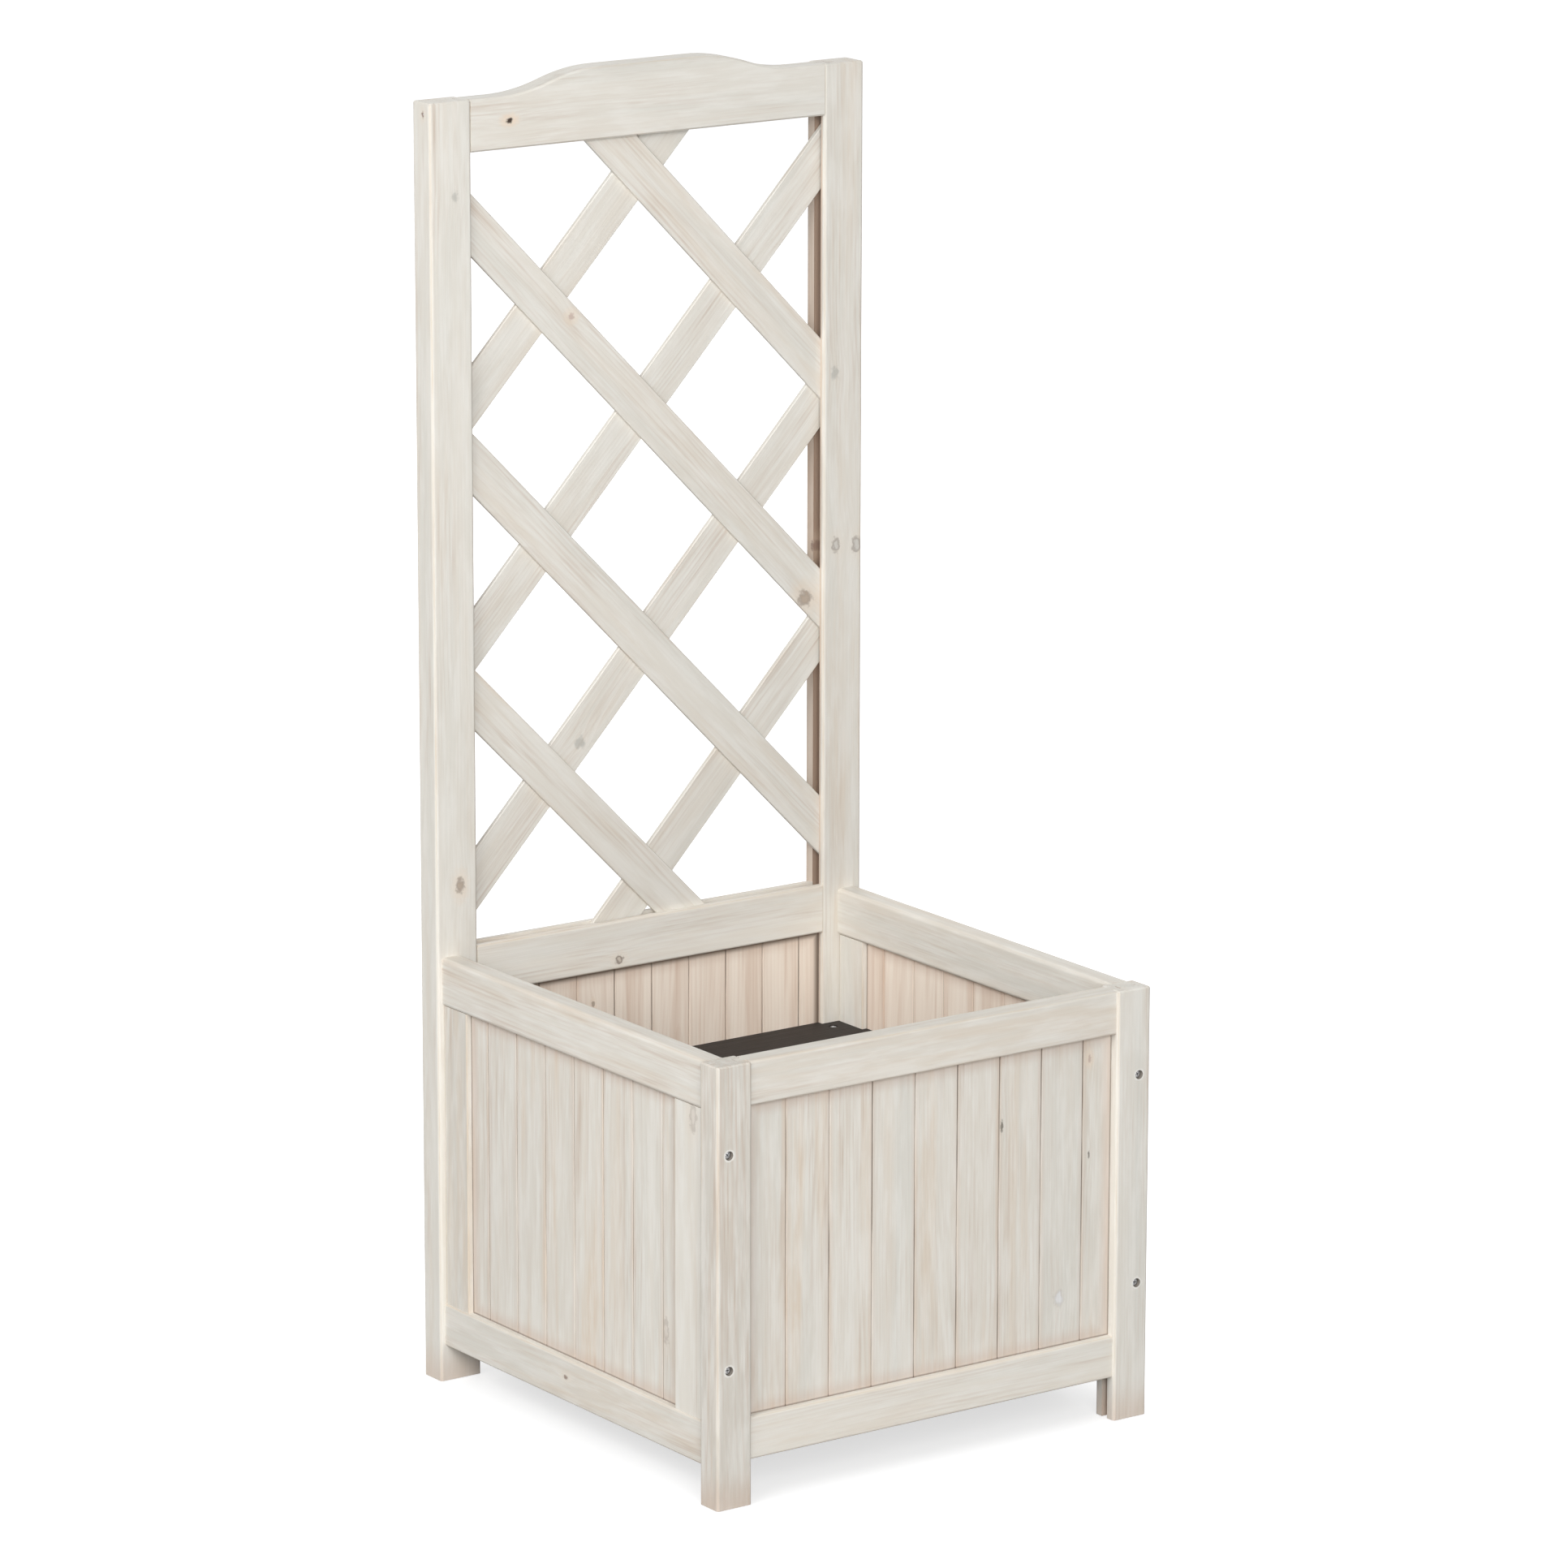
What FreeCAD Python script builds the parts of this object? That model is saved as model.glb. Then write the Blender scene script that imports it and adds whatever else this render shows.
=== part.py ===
import FreeCAD, Part
import math
import os
import Sketcher

# A wooden planter box with a trellis. Two short legs in front and two tall posts at the back carry
# four tongue-and-groove panels, a floor on bearers and a lattice under an arched top rail.
# Millimetres. X points right as seen from the front, Y to the back, Z up.
# The origin is on the ground, under the middle of the planter.
# Every size below can be set by itself. Positions are written as expressions of these sizes.

SIZES = {
    # The whole planter.
    "overall_width": 400.0,
    "overall_depth": 400.0,
    "post_height": 1000.0,
    "box_height": 340.0,
    # Legs in front and posts at the back.
    "leg_width": 31.0,
    "leg_depth": 23.0,
    "post_width": 37.0,
    "post_depth": 24.0,
    # Grooves, and the play of what is let into them.
    "groove_depth": 8.0,
    "groove_play": 0.2,
    "groove_end_play": 0.5,
    # Rails of the front panel.
    "front_setback": 2.5,
    "rail_thickness": 18.0,
    "front_top_rail_height": 34.0,
    "front_bottom_rail_height": 33.2,
    "front_ground_gap": 34.0,
    # Rails and stiles of the side panels.
    "side_setback": 4.0,
    "side_top_rail_height": 38.0,
    "side_bottom_rail_height": 34.0,
    "side_ground_gap": 28.5,
    "stile_thickness": 15.0,
    "front_stile_width": 40.5,
    "rear_stile_width": 31.5,
    # Rails of the rear panel and of the trellis above it.
    "rear_rail_thickness": 20.0,
    "rear_groove_lip": 5.0,
    "rear_ground_gap": 30.0,
    "rear_bottom_rail_height": 34.0,
    "mid_rail_underside": 306.0,
    "mid_rail_height": 39.0,
    # Arched top rail: straight shoulders, then an S-shaped rise to a flat crown.
    "arch_shoulder_height": 40.0,
    "arch_rise": 16.0,
    "arch_crown_half": 44.0,
    "arch_sweep": 95.0,
    # Boards: first visible width and pitch of each panel.
    "board_thickness": 6.0,
    "front_first_board": 36.5,
    "front_board_pitch": 39.25,
    "side_first_board": 22.0,
    "side_board_pitch": 39.3,
    "rear_first_board": 24.4,
    "rear_board_pitch": 35.3,
    "least_board": 12.0,
    "board_gap": 0.2,
    "tongue_length": 3.0,
    "tongue_thickness": 1.8,
    "tongue_play": 0.2,
    "seam_bevel": 0.8,
    # Lattice slats, seen from the front: slope in degrees, and how far the lowest and the highest
    # slat pass, at mid width, from the rail below and from the rail above.
    "slat_width": 33.4,
    "slat_thickness": 4.1,
    "falling_slat_angle": 45.3,
    "falling_slat_foot": 30.4,
    "falling_slat_head": 34.2,
    "rising_slat_angle": 46.6,
    "rising_slat_foot": 27.8,
    "rising_slat_head": 21.8,
    # Floor and its bearers.
    "floor_top": 231.0,
    "floor_thickness": 9.0,
    "floor_play": 0.3,
    "bearer_width": 20.0,
    "bearer_height": 26.0,
    # Eased edges.
    "post_ease": 2.4,
    "rail_ease": 2.0,
    "side_rim_ease": 3.4,
    "end_ease": 1.2,
    "arch_bevel": 1.4,
    "slat_ease": 0.6,
    # Screws and pins.
    "screw_head_radius": 3.3,
    "screw_head_height": 2.4,
    "screw_radius": 1.8,
    "screw_play": 0.2,
    "assembly_screw_length": 38.0,
    "assembly_screw_sink": 2.5,
    "assembly_screw_inset": 10.5,
    "lower_screw_height": 107.0,
    "upper_screw_drop": 68.0,
    "floor_screw_length": 24.0,
    "floor_screw_sink": 0.4,
    "floor_screw_side_inset": 13.5,
    "floor_screw_end_inset": 11.0,
    "pin_radius": 0.9,
    "pin_length": 40.0,
    "pin_sink": 0.5,
    "pin_drop": 9.0,
}
LATTICE_SLATS = 4
# Shanks and the holes drilled for them are drawn with this many flat sides.
SHANK_SIDES = 8

doc = FreeCAD.newDocument("planter_with_trellis")
dims = doc.addObject("Spreadsheet::Sheet", "dims")
for row, (alias, size) in enumerate(SIZES.items(), start=1):
    dims.set(f"A{row}", alias)
    dims.set(f"B{row}", str(size))
    dims.setAlias(f"B{row}", alias)
doc.recompute()


def value(expression):
    """Number that an expression of the sizes stands for."""
    return float(dims.evalExpression(expression))


# Planes across the planter, from its middle outwards.
OUT_X = "dims.overall_width / 2"
LEG_IN_X = f"({OUT_X} - dims.leg_width)"
POST_IN_X = f"({OUT_X} - dims.post_width)"
SIDE_RAIL_OUT_X = f"({OUT_X} - dims.side_setback)"
SIDE_RAIL_IN_X = f"({SIDE_RAIL_OUT_X} - dims.rail_thickness)"
SIDE_MID_X = f"({SIDE_RAIL_OUT_X} - dims.rail_thickness / 2)"
STILE_OUT_X = f"({SIDE_MID_X} + dims.stile_thickness / 2)"
STILE_IN_X = f"({SIDE_MID_X} - dims.stile_thickness / 2)"
SIDE_BOARD_IN_X = f"({SIDE_MID_X} - dims.board_thickness / 2)"
BEARER_IN_X = f"({STILE_IN_X} - dims.bearer_width)"
SCREW_X = f"({OUT_X} - dims.assembly_screw_inset)"

# Planes from the front of the planter to its back.
FRONT_Y = "-dims.overall_depth / 2"
LEG_BACK_Y = f"({FRONT_Y} + dims.leg_depth)"
FRONT_RAIL_Y = f"({FRONT_Y} + dims.front_setback)"
FRONT_RAIL_BACK_Y = f"({FRONT_RAIL_Y} + dims.rail_thickness)"
FRONT_MID_Y = f"({FRONT_RAIL_Y} + dims.rail_thickness / 2)"
FRONT_BOARD_BACK_Y = f"({FRONT_MID_Y} + dims.board_thickness / 2)"
FRONT_STILE_BACK_Y = f"({LEG_BACK_Y} + dims.front_stile_width)"
BACK_Y = "dims.overall_depth / 2"
POST_FRONT_Y = f"({BACK_Y} - dims.post_depth)"
REAR_STILE_FRONT_Y = f"({POST_FRONT_Y} - dims.rear_stile_width)"
REAR_RAIL_BACK_Y = f"({POST_FRONT_Y} + dims.rear_rail_thickness)"
REAR_GROOVE_Y = f"({POST_FRONT_Y} + dims.rear_groove_lip)"
REAR_GROOVE_WIDTH = "(2 * dims.slat_thickness + 2 * dims.groove_play)"
REAR_MID_Y = f"({REAR_GROOVE_Y} + {REAR_GROOVE_WIDTH} / 2)"

# Heights.
FRONT_TOP_RAIL_Z = "(dims.box_height - dims.front_top_rail_height)"
FRONT_BOTTOM_RAIL_TOP_Z = "(dims.front_ground_gap + dims.front_bottom_rail_height)"
SIDE_TOP_RAIL_Z = "(dims.box_height - dims.side_top_rail_height)"
SIDE_BOTTOM_RAIL_TOP_Z = "(dims.side_ground_gap + dims.side_bottom_rail_height)"
REAR_BOTTOM_RAIL_TOP_Z = "(dims.rear_ground_gap + dims.rear_bottom_rail_height)"
MID_RAIL_TOP_Z = "(dims.mid_rail_underside + dims.mid_rail_height)"
ARCH_LOW_Z = "(dims.post_height - dims.arch_shoulder_height)"
FLOOR_LOW_Z = "(dims.floor_top - dims.floor_thickness)"
BEARER_LOW_Z = f"({FLOOR_LOW_Z} - dims.bearer_height)"
LOWER_SCREW_Z = "dims.lower_screw_height"
UPPER_SCREW_Z = "(dims.box_height - dims.upper_screw_drop)"
PIN_Z = "(dims.post_height - dims.pin_drop)"

# Grooves of the front and side panels, and how far a tenon or board reaches into any groove.
GROOVE_HALF = "(dims.board_thickness / 2 + dims.groove_play)"
REAR_TENON_HALF = f"({REAR_GROOVE_WIDTH} / 2 - dims.groove_play)"
REACH = "(dims.groove_depth - dims.groove_end_play)"

AXIS = {
    "x": FreeCAD.Vector(1, 0, 0),
    "y": FreeCAD.Vector(0, 1, 0),
    "z": FreeCAD.Vector(0, 0, 1),
}
# Screws, pins and their holes are made along Z: these turns lay them along an axis, either way.
TURN = {
    ("x", 1): FreeCAD.Rotation(AXIS["y"], 90),
    ("x", -1): FreeCAD.Rotation(AXIS["y"], -90),
    ("y", 1): FreeCAD.Rotation(AXIS["x"], -90),
    ("y", -1): FreeCAD.Rotation(AXIS["x"], 90),
    ("z", 1): FreeCAD.Rotation(),
    ("z", -1): FreeCAD.Rotation(AXIS["x"], 180),
}

nodes = []


def register(obj, name):
    """Give a finished sub-part its name and put it on the list of what is written."""
    obj.Label = name
    nodes.append(obj)
    return obj


def put(obj, point, turn=None):
    """Place an object at a point given as three expressions."""
    if turn is not None:
        obj.Placement = FreeCAD.Placement(FreeCAD.Vector(), turn)
    for axis, expression in zip("xyz", point):
        obj.setExpression(f"Placement.Base.{axis}", expression)


def bind(obj, **expressions):
    """Tie properties of an object to expressions."""
    for name, expression in expressions.items():
        obj.setExpression(name, expression)


class Piece:
    """One wooden piece: a body placed at its low corner, with features given in planter axes."""

    def __init__(self, name, low):
        self.low = low
        self.body = doc.addObject("PartDesign::Body", name)
        put(self.body, low)
        register(self.body, name)

    def local(self, point):
        """The point seen from the body's own corner."""
        return [f"({here}) - ({corner})" for here, corner in zip(point, self.low)]

    def feature(self, kind):
        """New feature at the end of the body, with a name that says what it is."""
        return self.body.newObject(f"PartDesign::{kind}", f"{self.body.Name}_{kind}")

    def block(self, low, high, kind="AdditiveBox"):
        """Box between two corners, added to the piece or taken from it."""
        box = self.feature(kind)
        length, width, height = [f"({b}) - ({a})" for a, b in zip(low, high)]
        bind(box, Length=length, Width=width, Height=height)
        put(box, self.local(low))
        return box

    def cut(self, low, high):
        """Groove or notch between two corners."""
        return self.block(low, high, "SubtractiveBox")

    def bore(self, point, axis, direction, radius, depth):
        """Drilled hole for a shank, from a point along an axis."""
        hole = self.feature("SubtractivePrism")
        hole.Polygon = SHANK_SIDES
        bind(hole, Circumradius=radius, Height=depth)
        put(hole, self.local(point), TURN[axis, direction])

    def screw_seat(self, point, axis, direction, sink, depth):
        """Clearance hole with a counterbore for the head of a screw."""
        self.bore(point, axis, direction, "dims.screw_radius + dims.screw_play", depth)
        seat = self.feature("SubtractiveCylinder")
        bind(seat, Radius="dims.screw_head_radius + dims.screw_play",
             Height=f"{sink} + dims.screw_head_height")
        put(seat, self.local(point), TURN[axis, direction])

    def outline(self, plane_role, points):
        """Closed sketch of straight sides on a plane of the body, with every corner tied down."""
        sketch = self.sketch(plane_role)
        corners = [FreeCAD.Vector(value(u), value(v), 0) for u, v in points]
        count = len(corners)
        for index in range(count):
            side = Part.LineSegment(corners[index], corners[(index + 1) % count])
            sketch.addGeometry(side, False)
        for index in range(count):
            following = (index + 1) % count
            sketch.addConstraint(Sketcher.Constraint("Coincident", index, 2, following, 1))
        for index, point in enumerate(points):
            pin_down(sketch, index, 1, point)
        return sketch

    def sketch(self, plane_role):
        """Empty sketch on one of the body's own origin planes."""
        sketch = self.body.newObject("Sketcher::SketchObject", f"{self.body.Name}_sketch")
        planes = self.body.Origin.OriginFeatures
        plane = next(part for part in planes if part.Role == plane_role)
        sketch.AttachmentSupport = [(plane, "")]
        sketch.MapMode = "FlatFace"
        return sketch

    def pad(self, sketch, length, backwards=False):
        """Sketch made solid; backwards turns its direction round."""
        pad = self.feature("Pad")
        pad.Profile = sketch
        pad.Reversed = backwards
        bind(pad, Length=length)
        return pad

    def ease(self, base, edges, radius):
        """Rounded edges, as sandpaper leaves them."""
        fillet = self.feature("Fillet")
        fillet.Base = (base, edges)
        bind(fillet, Radius=radius)
        doc.recompute()

    def bevel(self, base, edges, width):
        """Small flat bevels, as a plane or a router leaves them."""
        chamfer = self.feature("Chamfer")
        chamfer.Base = (base, edges)
        bind(chamfer, Size=width)
        doc.recompute()


def pin_down(sketch, geometry, end, point):
    """Tie one end of a sketch line to its distances from the sketch origin."""
    for kind, expression in zip(("DistanceX", "DistanceY"), point):
        distance = Sketcher.Constraint(kind, -1, 1, geometry, end, value(expression))
        number = sketch.addConstraint(distance)
        sketch.setExpression(f"Constraints[{number}]", expression)


def chosen_edges(feature, wanted):
    """Names of the edges of a feature that pass a test on the edge."""
    edges = enumerate(feature.Shape.Edges, start=1)
    return [f"Edge{number}" for number, edge in edges if wanted(edge)]


def runs_along(edge, axis):
    """Whether a straight edge is parallel to an axis."""
    if edge.Curve.TypeId != "Part::GeomLine":
        return False
    return abs(edge.Curve.Direction.dot(AXIS[axis])) > 0.999


def top_face(feature):
    """Name of the highest flat face of a feature."""
    heights = [face.CenterOfMass.z for face in feature.Shape.Faces]
    return f"Face{heights.index(max(heights)) + 1}"


def mirror_to_right(left, name):
    """The matching piece on the other side of the planter."""
    twin = doc.addObject("Part::Mirroring", name)
    twin.Source = left
    twin.Base = (0, 0, 0)
    twin.Normal = (1, 0, 0)
    return register(twin, name)


def member(name, low, high, along, radius, bevelled=False):
    """Straight piece of timber between two corners, with its long edges rounded or bevelled."""
    piece = Piece(name, low)
    block = piece.block(low, high)
    doc.recompute()
    edges = chosen_edges(block, lambda edge: runs_along(edge, along))
    if bevelled:
        piece.bevel(block, edges, radius)
    else:
        piece.ease(block, edges, radius)
    return piece


# %% Legs and posts

def upright(name, low, high):
    """Leg or post of the left side: rounded along its length, bevelled round its top."""
    piece = member(name, low, high, "z", "dims.post_ease")
    piece.bevel(piece.body.Tip, [top_face(piece.body.Tip)], "dims.end_ease")
    return piece


def make_front_left_leg():
    low = (f"-({OUT_X})", FRONT_Y, "0")
    high = (f"-{LEG_IN_X}", LEG_BACK_Y, "dims.box_height")
    leg = upright("front_left_leg", low, high)
    leg.cut(
        (f"-{LEG_IN_X} - dims.groove_depth", f"{FRONT_MID_Y} - {GROOVE_HALF}", "0"),
        (f"-{LEG_IN_X}", f"{FRONT_MID_Y} + {GROOVE_HALF}", "dims.box_height"),
    )
    for height in (LOWER_SCREW_Z, UPPER_SCREW_Z):
        start = (f"-{SCREW_X}", FRONT_Y, height)
        leg.screw_seat(start, "y", 1, "dims.assembly_screw_sink", "dims.leg_depth")
    mirror_to_right(leg.body, "front_right_leg")


def make_rear_left_post():
    low = (f"-({OUT_X})", POST_FRONT_Y, "0")
    high = (f"-{POST_IN_X}", BACK_Y, "dims.post_height")
    post = upright("rear_left_post", low, high)
    post.cut(
        (f"-{POST_IN_X} - dims.groove_depth", REAR_GROOVE_Y, "0"),
        (f"-{POST_IN_X}", f"{REAR_GROOVE_Y} + {REAR_GROOVE_WIDTH}", "dims.post_height"),
    )
    for height in (LOWER_SCREW_Z, UPPER_SCREW_Z):
        start = (f"-{SCREW_X}", BACK_Y, height)
        post.screw_seat(start, "y", -1, "dims.assembly_screw_sink", "dims.post_depth")
    pin_start = (f"-({OUT_X})", REAR_MID_Y, PIN_Z)
    post.bore(pin_start, "x", 1, "dims.pin_radius + dims.groove_play / 2", "dims.post_width")
    mirror_to_right(post.body, "rear_right_post")


# %% Rails between the legs and between the posts

def tenons(rail, inner_x, mid_y, half, bottom, top):
    """A tenon at each end of a rail, let into the grooves of the uprights."""
    for near, far in ((f"-{inner_x} - {REACH}", f"-{inner_x}"), (inner_x, f"{inner_x} + {REACH}")):
        low = (near, f"{mid_y} - {half}", bottom)
        high = (far, f"{mid_y} + {half}", top)
        rail.block(low, high)


def long_groove(rail, inner_x, mid_y, half, bottom, top):
    """Groove along the whole of a rail between two uprights."""
    rail.cut(
        (f"-{inner_x} - {REACH}", f"{mid_y} - {half}", bottom),
        (f"{inner_x} + {REACH}", f"{mid_y} + {half}", top),
    )


def make_front_rails():
    half = "dims.board_thickness / 2"
    spans = (
        ("front_top_rail", FRONT_TOP_RAIL_Z, "dims.box_height"),
        ("front_bottom_rail", "dims.front_ground_gap", FRONT_BOTTOM_RAIL_TOP_Z),
    )
    for name, bottom, top in spans:
        low = (f"-{LEG_IN_X}", FRONT_RAIL_Y, bottom)
        high = (LEG_IN_X, FRONT_RAIL_BACK_Y, top)
        rail = member(name, low, high, "x", "dims.rail_ease")
        tenons(rail, LEG_IN_X, FRONT_MID_Y, half, bottom, top)
        if name == "front_top_rail":
            span = (bottom, f"{bottom} + dims.groove_depth")
        else:
            span = (f"{top} - dims.groove_depth", top)
        long_groove(rail, LEG_IN_X, FRONT_MID_Y, GROOVE_HALF, *span)


def make_rear_rails():
    rear_groove = (POST_IN_X, REAR_MID_Y, f"{REAR_GROOVE_WIDTH} / 2")
    spans = (
        ("rear_bottom_rail", "dims.rear_ground_gap", REAR_BOTTOM_RAIL_TOP_Z),
        ("trellis_mid_rail", "dims.mid_rail_underside", MID_RAIL_TOP_Z),
    )
    for name, bottom, top in spans:
        low = (f"-{POST_IN_X}", POST_FRONT_Y, bottom)
        high = (POST_IN_X, REAR_RAIL_BACK_Y, top)
        rail = member(name, low, high, "x", "dims.rail_ease")
        tenons(rail, POST_IN_X, REAR_MID_Y, REAR_TENON_HALF, bottom, top)
        long_groove(rail, *rear_groove, f"{top} - dims.groove_depth", top)
        if name == "trellis_mid_rail":
            long_groove(rail, *rear_groove, bottom, f"{bottom} + dims.groove_depth")


def make_arched_top_rail():
    """Rail with a straight underside and a top of two S-curves that meet a flat crown."""
    low = (f"-{POST_IN_X}", POST_FRONT_Y, ARCH_LOW_Z)
    rail = Piece("arched_top_rail", low)
    shoulder = "dims.arch_shoulder_height"
    crown = "dims.arch_shoulder_height + dims.arch_rise"
    middle = "dims.arch_shoulder_height + dims.arch_rise / 2"
    crown_x = "dims.arch_crown_half"
    middle_x = "(dims.arch_crown_half + dims.arch_sweep / 2)"
    foot_x = "(dims.arch_crown_half + dims.arch_sweep)"
    radius = "((dims.arch_sweep ^ 2 + dims.arch_rise ^ 2) / (4 * dims.arch_rise))"
    right_half = [(foot_x, shoulder), (middle_x, middle), (crown_x, crown)]
    corners = [("0", "0"), (f"2 * {POST_IN_X}", "0"), (f"2 * {POST_IN_X}", shoulder)]
    corners += [(f"{POST_IN_X} + {u}", v) for u, v in right_half]
    corners += [(f"{POST_IN_X} - {u}", v) for u, v in reversed(right_half)]
    corners += [("0", shoulder)]
    # Sides that are arcs, with the side that their centre lies on: 1 is left of the way round.
    bends = {3: -1, 4: 1, 6: 1, 7: -1}
    sketch = rail.sketch("XZ_Plane")
    points = [FreeCAD.Vector(value(u), value(v), 0) for u, v in corners]
    count = len(points)
    for index, start in enumerate(points):
        finish = points[(index + 1) % count]
        if index in bends:
            side = arc_between(start, finish, value(radius), bends[index])
        else:
            side = Part.LineSegment(start, finish)
        sketch.addGeometry(side, False)
    for index, corner in enumerate(corners):
        start_end = 2 if bends.get(index) == -1 else 1
        before = (index - 1) % count
        finish_end = 1 if bends.get(before) == -1 else 2
        joint = Sketcher.Constraint("Coincident", before, finish_end, index, start_end)
        sketch.addConstraint(joint)
        pin_down(sketch, index, start_end, corner)
        if index in bends:
            number = sketch.addConstraint(Sketcher.Constraint("Radius", index, value(radius)))
            sketch.setExpression(f"Constraints[{number}]", radius)
    pad = rail.pad(sketch, "dims.rear_rail_thickness", backwards=True)
    doc.recompute()
    faces = (0.0, value("dims.rear_rail_thickness"))
    ends = (0.0, value(f"2 * {POST_IN_X}"))

    def on_long_outline(edge):
        middle_of_edge = edge.BoundBox.Center
        on_face = any(abs(middle_of_edge.y - y) < 0.01 for y in faces)
        at_end = any(abs(middle_of_edge.x - x) < 0.01 for x in ends)
        return on_face and not at_end

    rail.bevel(pad, chosen_edges(pad, on_long_outline), "dims.arch_bevel")
    groove_top = f"({ARCH_LOW_Z} + dims.groove_depth)"
    tenons(rail, POST_IN_X, REAR_MID_Y, REAR_TENON_HALF, groove_top, "dims.post_height")
    half = f"{REAR_GROOVE_WIDTH} / 2"
    long_groove(rail, POST_IN_X, REAR_MID_Y, half, ARCH_LOW_Z, groove_top)
    pin_radius = "dims.pin_radius + dims.groove_play / 2"
    for side, direction in (("-", 1), ("", -1)):
        start = (f"{side}({OUT_X})", REAR_MID_Y, PIN_Z)
        rail.bore(start, "x", direction, pin_radius, "dims.pin_sink + dims.pin_length")


def arc_between(start, finish, radius, centre_side):
    """Arc of a circle from one point to another, with its centre left (1) or right (-1)."""
    chord = finish - start
    across = FreeCAD.Vector(-chord.y, chord.x, 0).normalize() * centre_side
    centre = (start + finish) * 0.5 + across * math.sqrt(radius ** 2 - (chord.Length / 2) ** 2)
    circle = Part.Circle(centre, AXIS["z"], radius)
    turns = [math.atan2(point.y - centre.y, point.x - centre.x) for point in (start, finish)]
    if centre_side < 0:
        turns.reverse()
    return Part.ArcOfCircle(circle, *turns)


# %% Side panels: rails over stiles

def make_side_frames():
    rails = (
        ("top_rail", SIDE_TOP_RAIL_Z, "dims.box_height"),
        ("bottom_rail", "dims.side_ground_gap", SIDE_BOTTOM_RAIL_TOP_Z),
    )
    for name, bottom, top in rails:
        low = (f"-{SIDE_RAIL_OUT_X}", LEG_BACK_Y, bottom)
        high = (f"-{SIDE_RAIL_IN_X}", POST_FRONT_Y, top)
        ease = "dims.side_rim_ease" if name == "top_rail" else "dims.rail_ease"
        rail = member(f"left_{name}", low, high, "y", ease)
        if name == "top_rail":
            span = (bottom, f"{bottom} + dims.groove_depth")
        else:
            span = (f"{top} - dims.groove_depth", top)
        rail.cut(
            (f"-{SIDE_MID_X} - {GROOVE_HALF}", LEG_BACK_Y, span[0]),
            (f"-{SIDE_MID_X} + {GROOVE_HALF}", POST_FRONT_Y, span[1]),
        )
        mirror_to_right(rail.body, f"right_{name}")
    stile_groove = "dims.groove_depth"
    stiles = (
        ("front_stile", LEG_BACK_Y, FRONT_STILE_BACK_Y, f"{FRONT_STILE_BACK_Y} - {stile_groove}",
         FRONT_STILE_BACK_Y, LEG_BACK_Y, 1),
        ("rear_stile", REAR_STILE_FRONT_Y, POST_FRONT_Y, REAR_STILE_FRONT_Y,
         f"{REAR_STILE_FRONT_Y} + {stile_groove}", POST_FRONT_Y, -1),
    )
    for name, near, far, groove_near, groove_far, butt, screw_way in stiles:
        low = (f"-{STILE_OUT_X}", near, SIDE_BOTTOM_RAIL_TOP_Z)
        high = (f"-{STILE_IN_X}", far, SIDE_TOP_RAIL_Z)
        stile = member(f"left_{name}", low, high, "z", "dims.slat_ease", bevelled=True)
        tenon_span = (near, groove_near) if screw_way > 0 else (groove_far, far)
        for bottom, top in (
            (f"{SIDE_BOTTOM_RAIL_TOP_Z} - {REACH}", SIDE_BOTTOM_RAIL_TOP_Z),
            (SIDE_TOP_RAIL_Z, f"{SIDE_TOP_RAIL_Z} + {REACH}"),
        ):
            stile.block(
                (f"-{SIDE_MID_X} - dims.board_thickness / 2", tenon_span[0], bottom),
                (f"-{SIDE_MID_X} + dims.board_thickness / 2", tenon_span[1], top),
            )
        stile.cut(
            (f"-{SIDE_MID_X} - {GROOVE_HALF}", groove_near, SIDE_BOTTOM_RAIL_TOP_Z),
            (f"-{SIDE_MID_X} + {GROOVE_HALF}", groove_far, SIDE_TOP_RAIL_Z),
        )
        upright_depth = "dims.leg_depth" if screw_way > 0 else "dims.post_depth"
        pilot = f"dims.assembly_screw_sink + dims.assembly_screw_length - {upright_depth}"
        for height in (LOWER_SCREW_Z, UPPER_SCREW_Z):
            stile.bore((f"-{SCREW_X}", butt, height), "y", screw_way,
                       "dims.screw_radius + dims.screw_play", pilot)
        mirror_to_right(stile.body, f"right_{name}")


# %% Tongue-and-groove boards

def board_profile(start, end, face, thickness, joined_before, joined_after):
    """Corners of a board's cross-section, from its outer face (v) and along the panel (u)."""
    mid = f"{face} + {thickness} / 2"
    back = f"{face} + {thickness}"
    bevel = "dims.seam_bevel"
    tongue = "dims.tongue_thickness / 2"
    slot = "dims.tongue_thickness / 2 + dims.tongue_play"
    tip = f"{end} + dims.tongue_length"
    root = f"{start} + dims.tongue_length + dims.tongue_play + dims.board_gap"
    if joined_before:
        front_left = [(start, f"{face} + {bevel}"), (f"{start} + {bevel}", face)]
        back_left = [
            (f"{start} + {bevel}", back), (start, f"{back} - {bevel}"),
            (start, f"{mid} + {slot}"), (root, f"{mid} + {slot}"),
            (root, f"{mid} - ({slot})"), (start, f"{mid} - ({slot})"),
        ]
    else:
        front_left = [(start, face)]
        back_left = [(start, back)]
    if joined_after:
        right = [
            (f"{end} - {bevel}", face), (end, f"{face} + {bevel}"),
            (end, f"{mid} - {tongue}"), (tip, f"{mid} - {tongue}"),
            (tip, f"{mid} + {tongue}"), (end, f"{mid} + {tongue}"),
            (end, f"{back} - {bevel}"), (f"{end} - {bevel}", back),
        ]
    else:
        right = [(end, face), (end, back)]
    return front_left + right + back_left


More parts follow.
